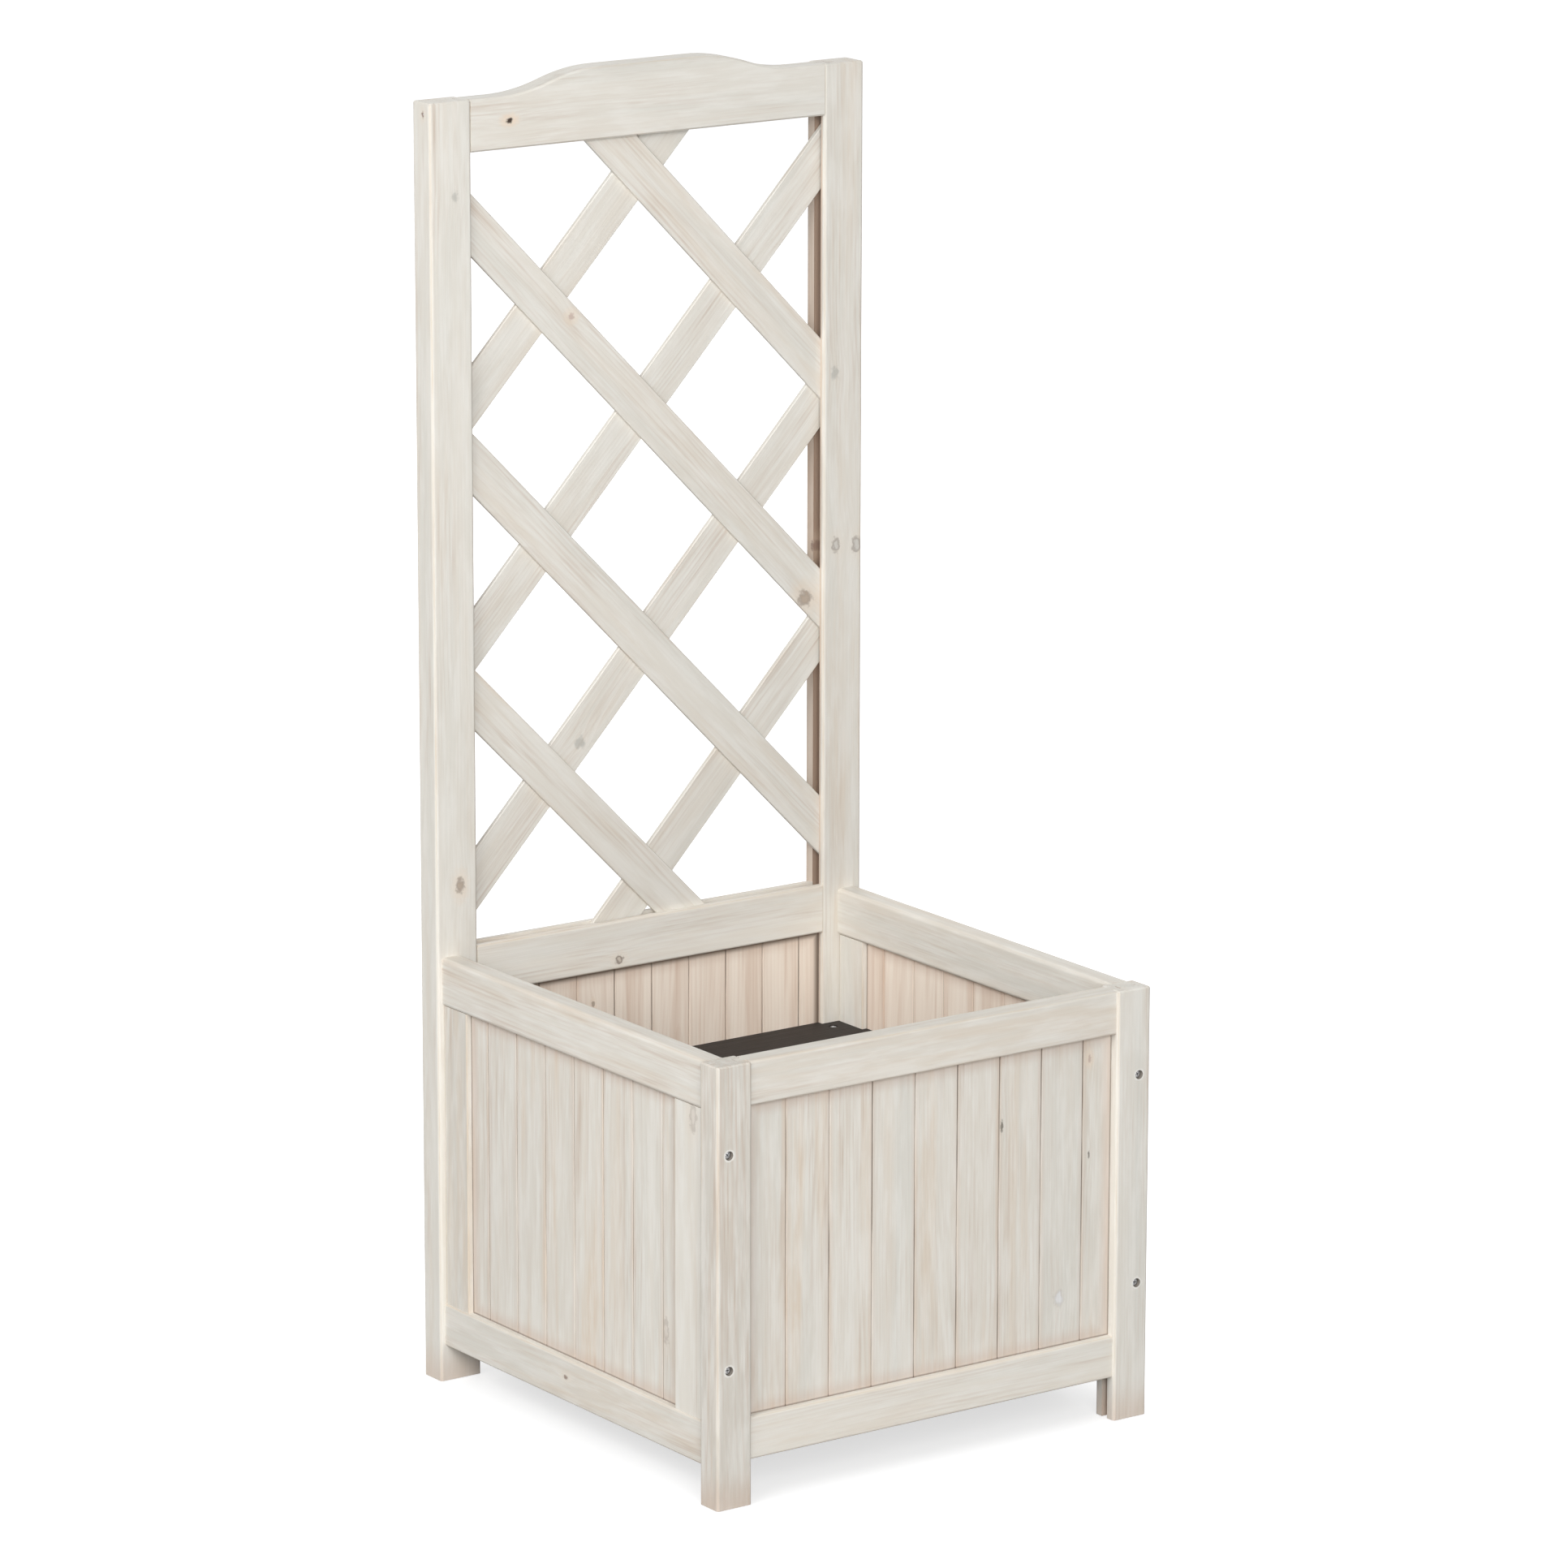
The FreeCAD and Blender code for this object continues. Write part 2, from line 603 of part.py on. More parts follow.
def board_spans(first, pitch, near, far):
    """Left and right edge of each board of a panel, and whether it meets a neighbour there."""
    opening = value(f"({far}) - ({near}) - {first} - dims.least_board")
    seams = int(opening // value(pitch)) + 1
    half_gap = "dims.board_gap / 2"
    spans = []
    for index in range(seams + 1):
        start = f"{near} - {REACH}"
        end = f"{far} + {REACH}"
        if index > 0:
            start = f"{near} + {first} + {index - 1} * {pitch} + {half_gap}"
        if index < seams:
            end = f"{near} + {first} + {index} * {pitch} - {half_gap}"
        spans.append((start, end, index > 0, index < seams))
    return spans


def make_board(name, span, face, thickness, bottom, top, along):
    """One board, standing in the grooves of the rails above and below it."""
    start, end, joined_before, joined_after = span
    low = (start, face, bottom) if along == "x" else (face, start, bottom)
    piece = Piece(name, low)
    length = f"({end}) - ({start})"
    points = board_profile("0", f"({length})", "0", thickness, joined_before, joined_after)
    if along == "y":
        points = [(v, u) for u, v in points]
    sketch = piece.outline("XY_Plane", points)
    piece.pad(sketch, f"({top}) - ({bottom})")
    return piece.body


def make_front_boards():
    spans = board_spans("dims.front_first_board", "dims.front_board_pitch",
                        f"-{LEG_IN_X}", LEG_IN_X)
    face = f"({FRONT_MID_Y} - dims.board_thickness / 2)"
    bottom = f"{FRONT_BOTTOM_RAIL_TOP_Z} - {REACH}"
    top = f"{FRONT_TOP_RAIL_Z} + {REACH}"
    for number, span in enumerate(spans, start=1):
        make_board(f"front_board_{number}", span, face, "dims.board_thickness", bottom, top, "x")


def make_side_boards():
    spans = board_spans("dims.side_first_board", "dims.side_board_pitch",
                        FRONT_STILE_BACK_Y, REAR_STILE_FRONT_Y)
    face = f"(-{SIDE_MID_X} - dims.board_thickness / 2)"
    bottom = f"{SIDE_BOTTOM_RAIL_TOP_Z} - {REACH}"
    top = f"{SIDE_TOP_RAIL_Z} + {REACH}"
    for number, span in enumerate(spans, start=1):
        left = make_board(f"left_board_{number}", span, face, "dims.board_thickness",
                          bottom, top, "y")
        mirror_to_right(left, f"right_board_{number}")


def make_rear_boards():
    """Boards of the rear panel: separate solids, kept together as one node."""
    spans = board_spans("dims.rear_first_board", "dims.rear_board_pitch",
                        f"-{POST_IN_X}", POST_IN_X)
    face = f"({REAR_MID_Y} - {REAR_TENON_HALF})"
    bottom = f"{REAR_BOTTOM_RAIL_TOP_Z} - {REACH}"
    top = f"dims.mid_rail_underside + {REACH}"
    boards = []
    for number, span in enumerate(spans, start=1):
        boards.append(make_board(f"rear_board_{number}", span, face, f"(2 * {REAR_TENON_HALF})",
                                 bottom, top, "x"))
        nodes.pop()
    group(boards, "rear_boards")


def group(members, name):
    """Separate solids of one kind, kept together under one name."""
    compound = doc.addObject("Part::Compound", name)
    compound.Links = members
    return register(compound, name)


# %% Lattice

def make_slat(name, centre_z, slope, front_y):
    """Slanting slat whose ends are cut square to the frame and sit in its grooves."""
    half_span = f"({POST_IN_X} + {REACH})"
    half_cut = f"(dims.slat_width / 2 / cos({slope}))"
    rise = f"({half_span} * tan({slope}))"
    strip = Piece(f"{name}_strip", (f"-{half_span}", front_y, centre_z))
    nodes.pop()
    width = f"2 * {half_span}"
    sketch = strip.outline("XZ_Plane", [
        ("0", f"-{rise} - {half_cut}"), (width, f"{rise} - {half_cut}"),
        (width, f"{rise} + {half_cut}"), ("0", f"-{rise} + {half_cut}"),
    ])
    pad = strip.pad(sketch, "dims.slat_thickness", backwards=True)
    doc.recompute()

    def is_slanting(edge):
        return not runs_along(edge, "y") and not runs_along(edge, "z")

    strip.bevel(pad, chosen_edges(pad, is_slanting), "dims.slat_ease")
    window = doc.addObject("Part::Box", f"{name}_window")
    bottom = f"({MID_RAIL_TOP_Z} - {REACH})"
    top = f"({ARCH_LOW_Z} + {REACH})"
    bind(window, Length=width, Width="dims.slat_thickness", Height=f"{top} - {bottom}")
    put(window, (f"-{half_span}", front_y, bottom))
    slat = doc.addObject("Part::Common", name)
    slat.Base = strip.body
    slat.Tool = window
    return register(slat, name)


def make_lattice():
    front_layer_y = f"({REAR_MID_Y} - dims.slat_thickness)"
    back_layer_y = REAR_MID_Y
    for number in range(LATTICE_SLATS):
        share = number / (LATTICE_SLATS - 1)
        falling = slat_height("dims.falling_slat_foot", "dims.falling_slat_head", share)
        rising = slat_height("dims.rising_slat_foot", "dims.rising_slat_head", share)
        make_slat(f"lattice_front_slat_{number + 1}", falling, "-dims.falling_slat_angle",
                  front_layer_y)
        make_slat(f"lattice_back_slat_{number + 1}", rising, "dims.rising_slat_angle",
                  back_layer_y)


def slat_height(foot, head, share):
    """Height of a slat at mid width: a share of the way from the lowest to the highest slat."""
    lowest = f"({MID_RAIL_TOP_Z} + {foot})"
    highest = f"({ARCH_LOW_Z} - {head})"
    return f"({lowest} + ({highest} - {lowest}) * {share})"


# %% Floor and bearers

def make_floor():
    """Panel that fills the box, notched round the legs, the posts and the stiles."""
    play = "dims.floor_play"
    wide = f"({SIDE_BOARD_IN_X} - {play})"
    shoulder = f"({STILE_IN_X} - {play})"
    leg = f"({LEG_IN_X} - {play})"
    post = f"({POST_IN_X} - {play})"
    front = f"({FRONT_BOARD_BACK_Y} + {play})"
    leg_back = f"({LEG_BACK_Y} + {play})"
    stile_back = f"({FRONT_STILE_BACK_Y} + {play})"
    stile_front = f"({REAR_STILE_FRONT_Y} - {play})"
    post_front = f"({POST_FRONT_Y} - {play})"
    back = f"({REAR_MID_Y} - {REAR_TENON_HALF} - {play})"
    right_side = [
        (leg, front), (leg, leg_back), (shoulder, leg_back), (shoulder, stile_back),
        (wide, stile_back), (wide, stile_front), (shoulder, stile_front),
        (shoulder, post_front), (post, post_front), (post, back),
    ]
    left_side = [(f"-{x}", y) for x, y in reversed(right_side)]
    floor = Piece("floor_panel", ("0", "0", FLOOR_LOW_Z))
    sketch = floor.outline("XY_Plane", right_side + left_side)
    floor.pad(sketch, "dims.floor_thickness")
    for x, y in floor_screw_places():
        floor.screw_seat((x, y, "dims.floor_top"), "z", -1, "dims.floor_screw_sink",
                         "dims.floor_thickness")


def floor_screw_places():
    """Middle of each floor screw, left front, left back, right front, right back."""
    x = f"({STILE_IN_X} - dims.floor_screw_side_inset)"
    front = f"{LEG_BACK_Y} + dims.floor_screw_end_inset"
    back = f"{POST_FRONT_Y} - dims.floor_screw_end_inset"
    return [(f"{side}{x}", y) for side in ("-", "") for y in (front, back)]


def make_bearers():
    low = (f"-{STILE_IN_X}", f"{LEG_BACK_Y} + dims.floor_play", BEARER_LOW_Z)
    high = (f"-{BEARER_IN_X}", f"{POST_FRONT_Y} - dims.floor_play", FLOOR_LOW_Z)
    bearer = member("left_bearer", low, high, "y", "dims.slat_ease", bevelled=True)
    pilot = "dims.floor_screw_sink + dims.floor_screw_length - dims.floor_thickness"
    for x, y in floor_screw_places()[:2]:
        bearer.bore((x, y, FLOOR_LOW_Z), "z", -1, "dims.screw_radius + dims.screw_play",
                    f"{pilot} + dims.screw_play")
    mirror_to_right(bearer.body, "right_bearer")


# %% Screws and pins

def make_screw(name, start, axis, direction, length):
    """Round-headed wood screw whose head starts at a point and which runs along an axis."""
    head = doc.addObject("Part::Cylinder", f"{name}_head")
    bind(head, Radius="dims.screw_head_radius", Height="dims.screw_head_height")
    shank = doc.addObject("Part::Prism", f"{name}_shank")
    shank.Polygon = SHANK_SIDES
    bind(shank, Circumradius="dims.screw_radius", Height=f"{length} - dims.screw_head_height")
    put(shank, ("0", "0", "dims.screw_head_height"))
    screw = doc.addObject("Part::Fuse", name)
    screw.Base = head
    screw.Tool = shank
    put(screw, start, TURN[axis, direction])
    return screw


def make_assembly_screws():
    screws = []
    ends = (("front", f"{FRONT_Y} + dims.assembly_screw_sink", 1),
            ("rear", f"{BACK_Y} - dims.assembly_screw_sink", -1))
    heights = (("lower", LOWER_SCREW_Z), ("upper", UPPER_SCREW_Z))
    for side, sign in (("left", "-"), ("right", "")):
        for end, start_y, direction in ends:
            for level, height in heights:
                start = (f"{sign}{SCREW_X}", start_y, height)
                screws.append(make_screw(f"{side}_{end}_{level}_screw", start, "y", direction,
                                         "dims.assembly_screw_length"))
    group(screws, "assembly_screws")


def make_floor_screws():
    screws = []
    for number, (x, y) in enumerate(floor_screw_places(), start=1):
        start = (x, y, "dims.floor_top - dims.floor_screw_sink")
        screws.append(make_screw(f"floor_screw_{number}", start, "z", -1,
                                 "dims.floor_screw_length"))
    group(screws, "floor_screws")


def make_arch_pins():
    """Headless pins that lock the tenons of the arched rail in the posts."""
    pins = []
    for side, sign, direction in (("left", "-", 1), ("right", "", -1)):
        pin = doc.addObject("Part::Prism", f"{side}_arch_pin")
        pin.Polygon = SHANK_SIDES
        bind(pin, Circumradius="dims.pin_radius", Height="dims.pin_length")
        put(pin, (f"{sign}({OUT_X} - dims.pin_sink)", REAR_MID_Y, PIN_Z), TURN["x", direction])
        pins.append(pin)
    group(pins, "arch_pins")


make_front_left_leg()
make_rear_left_post()
make_front_rails()
make_side_frames()
make_rear_rails()
make_arched_top_rail()
make_front_boards()
make_side_boards()
make_rear_boards()
make_lattice()
make_floor()
make_bearers()
make_assembly_screws()
make_floor_screws()
make_arch_pins()
doc.recompute()

# Nothing is written unless every object is sound.
for obj in doc.Objects:
    if "Invalid" in obj.State or "Error" in obj.State:
        raise RuntimeError(f"{obj.Label} failed: {obj.State}")
for node in nodes:
    if node.Shape.isNull() or not node.Shape.isValid():
        raise RuntimeError(f"{node.Label} has no valid shape")

os.makedirs("parts", exist_ok=True)
for node in nodes:
    node.Shape.exportStep(os.path.join("parts", f"{node.Label}.step"))
    box = node.Shape.BoundBox
    print(f"{node.Label}: {len(node.Shape.Solids)} solid(s), "
          f"{box.XLength:.1f} x {box.YLength:.1f} x {box.ZLength:.1f} mm")
print(f"{len(nodes)} sub-parts")
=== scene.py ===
# %% [markdown]
# # A whitewashed planter with a trellis
# The planter is a small softwood box on four feet. Two of its corner posts carry on upwards and
# hold a diagonal lattice under an arched rail. The CAD model already has every board, rail, post
# and slat with its eased edges, so this lesson keeps those pieces and gives each its finish. It
# adds the pieces that are too small for the CAD model, then the floor, the light and the camera.
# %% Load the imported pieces
import math
import bmesh
import bpy
from mathutils import Matrix, Vector


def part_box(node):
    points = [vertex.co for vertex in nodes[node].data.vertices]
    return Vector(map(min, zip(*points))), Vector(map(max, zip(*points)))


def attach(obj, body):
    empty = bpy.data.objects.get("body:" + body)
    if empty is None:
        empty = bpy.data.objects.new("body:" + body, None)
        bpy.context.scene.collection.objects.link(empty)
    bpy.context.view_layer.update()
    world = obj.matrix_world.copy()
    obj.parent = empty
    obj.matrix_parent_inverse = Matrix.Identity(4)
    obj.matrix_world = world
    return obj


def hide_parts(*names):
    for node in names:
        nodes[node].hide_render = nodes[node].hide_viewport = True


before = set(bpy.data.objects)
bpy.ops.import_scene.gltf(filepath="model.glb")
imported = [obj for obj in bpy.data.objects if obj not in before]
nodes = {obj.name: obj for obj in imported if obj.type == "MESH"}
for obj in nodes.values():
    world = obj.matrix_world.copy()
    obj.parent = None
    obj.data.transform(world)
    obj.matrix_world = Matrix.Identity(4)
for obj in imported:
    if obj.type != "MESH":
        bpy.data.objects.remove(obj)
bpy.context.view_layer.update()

print(len(nodes), "wooden and metal pieces from the CAD model")

# %% [markdown]
# ## Working in millimetres
# Wood is measured in millimetres and Blender counts in metres. One helper turns a box of a piece
# into its middle and half sizes, because the grain, the knots and the worn edges are all placed
# from there.
# %% Middle and half size of a piece
MM = 0.001


def middle_and_half(name):
    low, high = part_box(name)
    return (low + high) / 2, (high - low) / 2


print("the left post is", [round(2000 * side, 1) for side in middle_and_half("rear_left_post")[1]])

# %% [markdown]
# ## A small kit for node materials
# A finish on real wood is many thin layers, and each layer is a few shader nodes. Placing nodes by
# hand is slow to read, so a short class makes a node, sets its numbers and joins its inputs. A
# number that is the same all over goes straight on the socket.
# %% Node kit
class Finish:
    """A material under construction, with a helper for each kind of layer."""

    def __init__(self, name):
        self.material = bpy.data.materials.new(name)
        self.material.use_nodes = True
        self.tree = self.material.node_tree
        self.tree.nodes.clear()

    def node(self, kind, inputs=(), **settings):
        made = self.tree.nodes.new(kind)
        for key, setting in settings.items():
            setattr(made, key, setting)
        for socket, given in dict(inputs).items():
            self.join(made.inputs[socket], given)
        return made

    def join(self, socket, given):
        if isinstance(given, bpy.types.NodeSocket):
            self.tree.links.new(given, socket)
        elif given is not None:
            socket.default_value = given

    def math(self, operation, *values, clamp=False):
        made = self.node("ShaderNodeMath", enumerate(values), operation=operation)
        made.use_clamp = clamp
        return made.outputs[0]

    def vector(self, operation, *values):
        made = self.node("ShaderNodeVectorMath", enumerate(values), operation=operation)
        scalar = operation in ("LENGTH", "DISTANCE")
        return made.outputs[1 if scalar else 0]

    def parts(self, vector):
        return self.node("ShaderNodeSeparateXYZ", {0: vector}).outputs

    def noise(self, vector, scale=1.0, detail=2.0, roughness=0.5):
        inputs = {"Vector": vector, "Scale": scale, "Detail": detail, "Roughness": roughness}
        return self.node("ShaderNodeTexNoise", inputs).outputs

    def span(self, given, low, high, to_low=0.0, to_high=1.0):
        inputs = {0: given, 1: low, 2: high, 3: to_low, 4: to_high}
        made = self.node("ShaderNodeMapRange", inputs, interpolation_type="SMOOTHSTEP")
        return made.outputs[0]

    def blend(self, share, first, second):
        made = self.node("ShaderNodeMix", data_type="RGBA")
        for socket, given in ((0, share), (6, first), (7, second)):
            self.join(made.inputs[socket], given)
        return made.outputs[2]


def linear(red, green, blue):
    """A colour given from 0 to 255, as the light values that a shader works in."""
    values = [channel / 255 for channel in (red, green, blue)]
    return (*[((c + 0.055) / 1.055) ** 2.4 if c > 0.04045 else c / 12.92 for c in values], 1.0)


print("the node kit is ready; paint white is", [round(c, 2) for c in linear(226, 220, 210)[:3]])

# %% [markdown]
# ## Whitewashed softwood
# The planter is softwood under one thin coat of whitewash. The coat hides most of the colour and
# lets a little of the grain through: broad warm and cool bands, a few pinkish streaks where it
# soaked in, faint year rings and brown or grey knots. One flat colour with a bump would look like
# plastic, and a picture of wood would repeat. So the finish is cut out of a solid piece of timber,
# the way the real board was: rings round a heart that lies beside the board, stretched noise for
# the bands and fibres, and the coat over it. Each piece takes its own stretch of timber, so no two
# boards match.
# %% Colours of the coat and of the wood under it
COAT = linear(231, 227, 218)
DAUB = linear(236, 234, 228)
WARM = linear(219, 201, 180)
COOL = linear(209, 210, 204)
SOAKED = linear(186, 162, 142)
PEACH = linear(232, 210, 186)
WORN = linear(204, 187, 166)
RAW_WOOD = linear(246, 234, 220)
RAW_STREAK = linear(196, 160, 134)
# painted shade: the dark brown of the grooves in the posts and legs
GROOVE_SHADE = linear(132, 102, 80)
ROSY = linear(194, 166, 150)
# brown of the bare seams, darkened further as painted shade; also the painted shadow along a
# panel's frame
SEAM_AND_SHADE = linear(108, 94, 82)
# painted shade inside the sunk screw holes
HOLE_SHADE = linear(104, 92, 80)
RING_WIDTH = 3.4 * MM
print("the coat, the streaks and the raw wood have their colours")

# %% [markdown]
# ## Which way the grain runs
# Timber is sawn along its grain, so the grain follows the longest side of every piece. The slats
# slant, and theirs slants with them. A Mapping node turns the object's own coordinates until the
# grain lies along X, with the middle of the piece at zero.
# %% Turn the coordinates along the grain
FALLING, RISING = math.radians(-45.3), math.radians(46.6)


def grain_turn(name):
    """Rotation that brings the grain of a piece onto the X axis."""
    if name.startswith("lattice_front"):
        return Matrix.Rotation(FALLING, 3, "Y")
    if name.startswith("lattice_back"):
        return Matrix.Rotation(RISING, 3, "Y")
    upright = ("leg", "post", "stile", "board")
    if any(word in name for word in upright):
        return Matrix.Rotation(math.radians(90), 3, "Y")
    if name.startswith(("left", "right")):
        return Matrix.Rotation(math.radians(-90), 3, "Z")
    return Matrix.Identity(3)


def grain_line(name):
    """Direction of the grain of a piece."""
    return grain_turn(name).transposed() @ Vector((1, 0, 0))


print("grain of the left post:", [round(v) for v in grain_line("rear_left_post")])

# %% [markdown]
# ## Rings, fibres, bands and streaks
# A plain-sawn board shows the year rings as long arches, because its heart runs at a slight slant
# beside it. The distance from that slanting heart gives the rings. Each ring turns slowly darker
# and then stops at once, which is late wood against the next spring. A knot pushes the rings aside,
# so the distance grows near it. Noise that is stretched along the grain gives the rest, from broad
# bands down to single fibres.
# %% Grain of a piece
SWAY_SCALE, SWAY = (5, 22, 22), 13 * MM
HEART_SIDE, HEART_BELOW = (9, 6), (16, 18)  # least distance and spread, millimetres
HEART_SLANT, SLANT_SPREAD = 0.03, 0.02
KNOT_PUSH = 6 * MM
LATE_WOOD_STARTS, LATE_WOOD_ENDS = 0.2, 0.9  # shares of a year ring
GRAIN_NOISES = {  # scale along the grain, scale across it, detail, roughness
    "fibres": (18, 640, 2, 0.6), "streaks": (5, 160, 3, 0.6), "warm": (2.8, 52, 4, 0.6),
    "cool": (2.2, 42, 3, 0.5), "thin": (6, 44, 4, 0.6), "daubs": (18, 120, 3, 0.6),
}


def timber(finish, name, seed, knots):
    """Year rings and the grain noises of a piece; its seed picks its own stretch of timber."""
    turn = grain_turn(name)
    middle, _ = middle_and_half(name)
    coordinates = finish.node("ShaderNodeTexCoord").outputs["Object"]
    along = finish.node("ShaderNodeMapping", {
        "Vector": coordinates, "Rotation": tuple(turn.to_euler()),
        "Location": tuple(-(turn @ middle))}).outputs[0]
    far = (seed * 1.37 % 7, seed * 0.61 % 5, seed * 0.29 % 3)
    moved = finish.vector("ADD", along, far)
    slow = finish.noise(finish.vector("MULTIPLY", moved, SWAY_SCALE), detail=1)["Color"]
    sway = finish.vector("SUBTRACT", slow, (0.5, 0.5, 0.5))
    swayed = finish.vector("MULTIPLY_ADD", sway, (0, SWAY, SWAY), along)
    side = 1 if seed % 2 else -1
    slant = HEART_SLANT + SLANT_SPREAD * math.sin(seed * 2.3)
    heart = (0, side * (HEART_SIDE[0] + HEART_SIDE[1] * (seed * 0.37 % 1)) * MM,
             (HEART_BELOW[0] + HEART_BELOW[1] * (seed * 0.71 % 1)) * MM)
    x, y, z = finish.parts(finish.vector("ADD", swayed, heart))
    across = finish.node("ShaderNodeCombineXYZ", {
        1: finish.math("MULTIPLY_ADD", x, slant, y), 2: z}).outputs[0]
    distance = finish.vector("LENGTH", across)
    for knot in knots:
        push = finish.math("DIVIDE", KNOT_PUSH, finish.math("ADD", knot["reach"], 1.0))
        distance = finish.math("ADD", distance, push)
    phase = finish.math("FRACT", finish.math("DIVIDE", distance, RING_WIDTH))
    rise = finish.span(phase, LATE_WOOD_STARTS, LATE_WOOD_ENDS)
    fall = finish.span(phase, LATE_WOOD_ENDS, 1.0, 1.0, 0.0)
    grain = {"rings": finish.math("MULTIPLY", rise, fall)}
    for layer, (length, width, detail, roughness) in GRAIN_NOISES.items():
        place = finish.vector("MULTIPLY", moved, (length, width, width))
        grain[layer] = finish.noise(place, detail=detail, roughness=roughness)["Fac"]
    return grain


print("timber() is ready: rings", round(RING_WIDTH / MM, 1), "mm apart")

# %% [markdown]
# ## Knots
# A knot is a branch that was sawn through: a plug, a dark ring of bark, a paler halo, and year
# rings that flow past. The whitewash turns most of them into soft grey or brown spots, and one
# loose knot in the arched rail stays nearly black. Each knot is given by its place, its radius, the
# axis that it goes through and its kind. The distance from that axis, stretched along the grain and
# made ragged by noise, is all that the plug, the bark and the flow need.
# %% Places of the knots, millimetres: x, y, z, radius, axis, kind
KNOT_KINDS = {  # colour of the plug, then how strongly plug, bark ring and halo show, then length
    "black": (linear(48, 34, 26), 0.97, 0.0, 0.6, 0.6),
    "brown": (linear(162, 142, 124), 0.7, 0.45, 0.35, 0.6),
    "ring": (linear(190, 188, 184), 0.5, 0.5, 0.1, 0.6),
    "smudge": (linear(176, 175, 168), 0.6, 0.0, 0.0, 0.7),
    "rose": (linear(184, 158, 148), 0.6, 0.0, 0.35, 0.5),
    "comma": (linear(186, 172, 162), 0.22, 0.28, 0.12, 0.4),
    "eye": (linear(176, 160, 146), 0.5, 0.8, 0.15, 0.95),
    "pale": (linear(228, 229, 232), 0.6, 0.15, 0.0, 0.8),
    "rust": (linear(138, 114, 102), 0.8, 0.0, 0.15, 0.6),
    "crack": (linear(120, 114, 104), 0.85, 0.0, 0.0, 0.3),
}
BARK = linear(136, 122, 112)
KNOTS = {
    "arched_top_rail": [(-128.7, 176, 981.7, 2.7, 1, "black"), (-12, 176, 958.7, 2.2, 1, "rust")],
    "rear_left_post": [(-177.7, 176, 928.5, 3.8, 1, "smudge"),
                       (-178.7, 176, 394.4, 4.2, 1, "brown"), (-200, 185.3, 991, 2.2, 0, "rust")],
    "rear_right_post": [(173.6, 176, 756.3, 5.0, 1, "smudge"), (174.9, 176, 618.8, 4.2, 1, "ring"),
                        (194.6, 176, 617.4, 4.6, 1, "ring"), (165, 190.5, 617.3, 3.6, 0, "rust")],
    "lattice_front_slat_3": [(-70.3, 181, 825.4, 2.4, 1, "rose"),
                             (148.9, 181, 578.7, 5.4, 1, "brown")],
    "lattice_back_slat_2": [(-61.2, 185, 489.8, 5.2, 1, "smudge")],
    "trellis_mid_rail": [(-31.9, 176, 313.9, 3.9, 1, "eye")],
    "left_bottom_rail": [(-196, 7.5, 48.0, 2.4, 0, "rust")],
    "left_board_1": [(-190, -118.6, 116.7, 4.6, 0, "comma")],
    "left_front_stile": [(-194.5, -160.9, 293.4, 5.0, 0, "comma")],
    "front_board_7": [(66.0, -191.5, 250.2, 2.0, 1, "crack")],
    "front_board_8": [(121.8, -191.5, 104.4, 5.6, 1, "pale")],
    "front_board_9": [(148.4, -191.5, 289.1, 2.2, 1, "rose"),
                      (148.6, -191.5, 214, 1.3, 1, "crack")],
    "left_board_7": [(-190, 138, 115.8, 4.2, 0, "comma")],
    "rear_boards": [(-53, 182, 279.8, 1.6, 1, "brown")],
}
print(sum(len(spots) for spots in KNOTS.values()), "knots are placed")


# %% Distance from each knot
KNOT_NOISE, KNOT_RAGGED, KNOT_FLOW = 1300, 1.3, 0.14


def knot_fields(finish, name, coordinates):
    """For each knot of a piece: its distance in radii, and its reach into the rings around."""
    grain = grain_line(name)
    fields = []
    for x, y, z, radius, axis, kind in KNOTS.get(name, []):
        stretch = [1 - (1 - KNOT_KINDS[kind][-1]) * abs(g) for g in grain]
        stretch[axis] = 0.0
        place = finish.vector("SUBTRACT", coordinates, (x * MM, y * MM, z * MM))
        flat = finish.vector("MULTIPLY", place, tuple(s / (radius * MM) for s in stretch))
        rough = finish.noise(coordinates, scale=KNOT_NOISE / radius, detail=2)["Fac"]
        distance = finish.math("MULTIPLY_ADD", rough, KNOT_RAGGED, finish.vector("LENGTH", flat))
        reach = finish.math("MULTIPLY", distance, finish.math("MULTIPLY", distance, KNOT_FLOW))
        fields.append({"distance": distance, "reach": reach, "kind": kind})
    return fields


print("knot_fields() is ready")

# %% [markdown]
# ## Where the coat is missing
# The brush reached the outside of the planter. The grooves, the inner sides of the posts and the
# inside of the box stayed almost raw. These places are boxes, because the planter is made of
# straight cuts, and a point is bare where it lies inside one of them.
# %% Share of a box that a point lies in
def inside_box(finish, coordinates, low, high, soft):
    """1 inside a box and 0 outside, with a soft border; None leaves a side open."""
    x_y_z = finish.parts(coordinates)
    share = None
    for axis in range(3):
        for limit, sign in ((low[axis], 1), (high[axis], -1)):
            if limit is None:
                continue
            edge = finish.math("MULTIPLY_ADD", x_y_z[axis], sign / soft, -limit * sign * MM / soft)
            share = edge if share is None else finish.math("MINIMUM", share, edge)
    return finish.math("ADD", share, 0.5, clamp=True)


print("inside_box() is ready")

# %% [markdown]
# Front boards show raw wood behind their middle plane, side boards inside theirs, and the rear
# boards on the side that faces the plants. The posts and legs are raw in their grooves, with a dark
# painted shade there, and each post's inner face behind its groove carries a lighter painted shade.
# %% Bare places of each piece, millimetres
OPEN = (None, None, None)
POST_INSIDE, LEG_INSIDE = 163.0, 169.0  # from the middle of the planter
GROOVE_REACH, GROOVE_MOUTH = 8.2, 1.0  # into the timber and out of it, from its inner face
POST_GROOVE, LEG_GROOVE = (181.2, 189.8), (-191.6, -185.3)  # front and back wall
POST_BACK, TRELLIS_FOOT = 179, 345


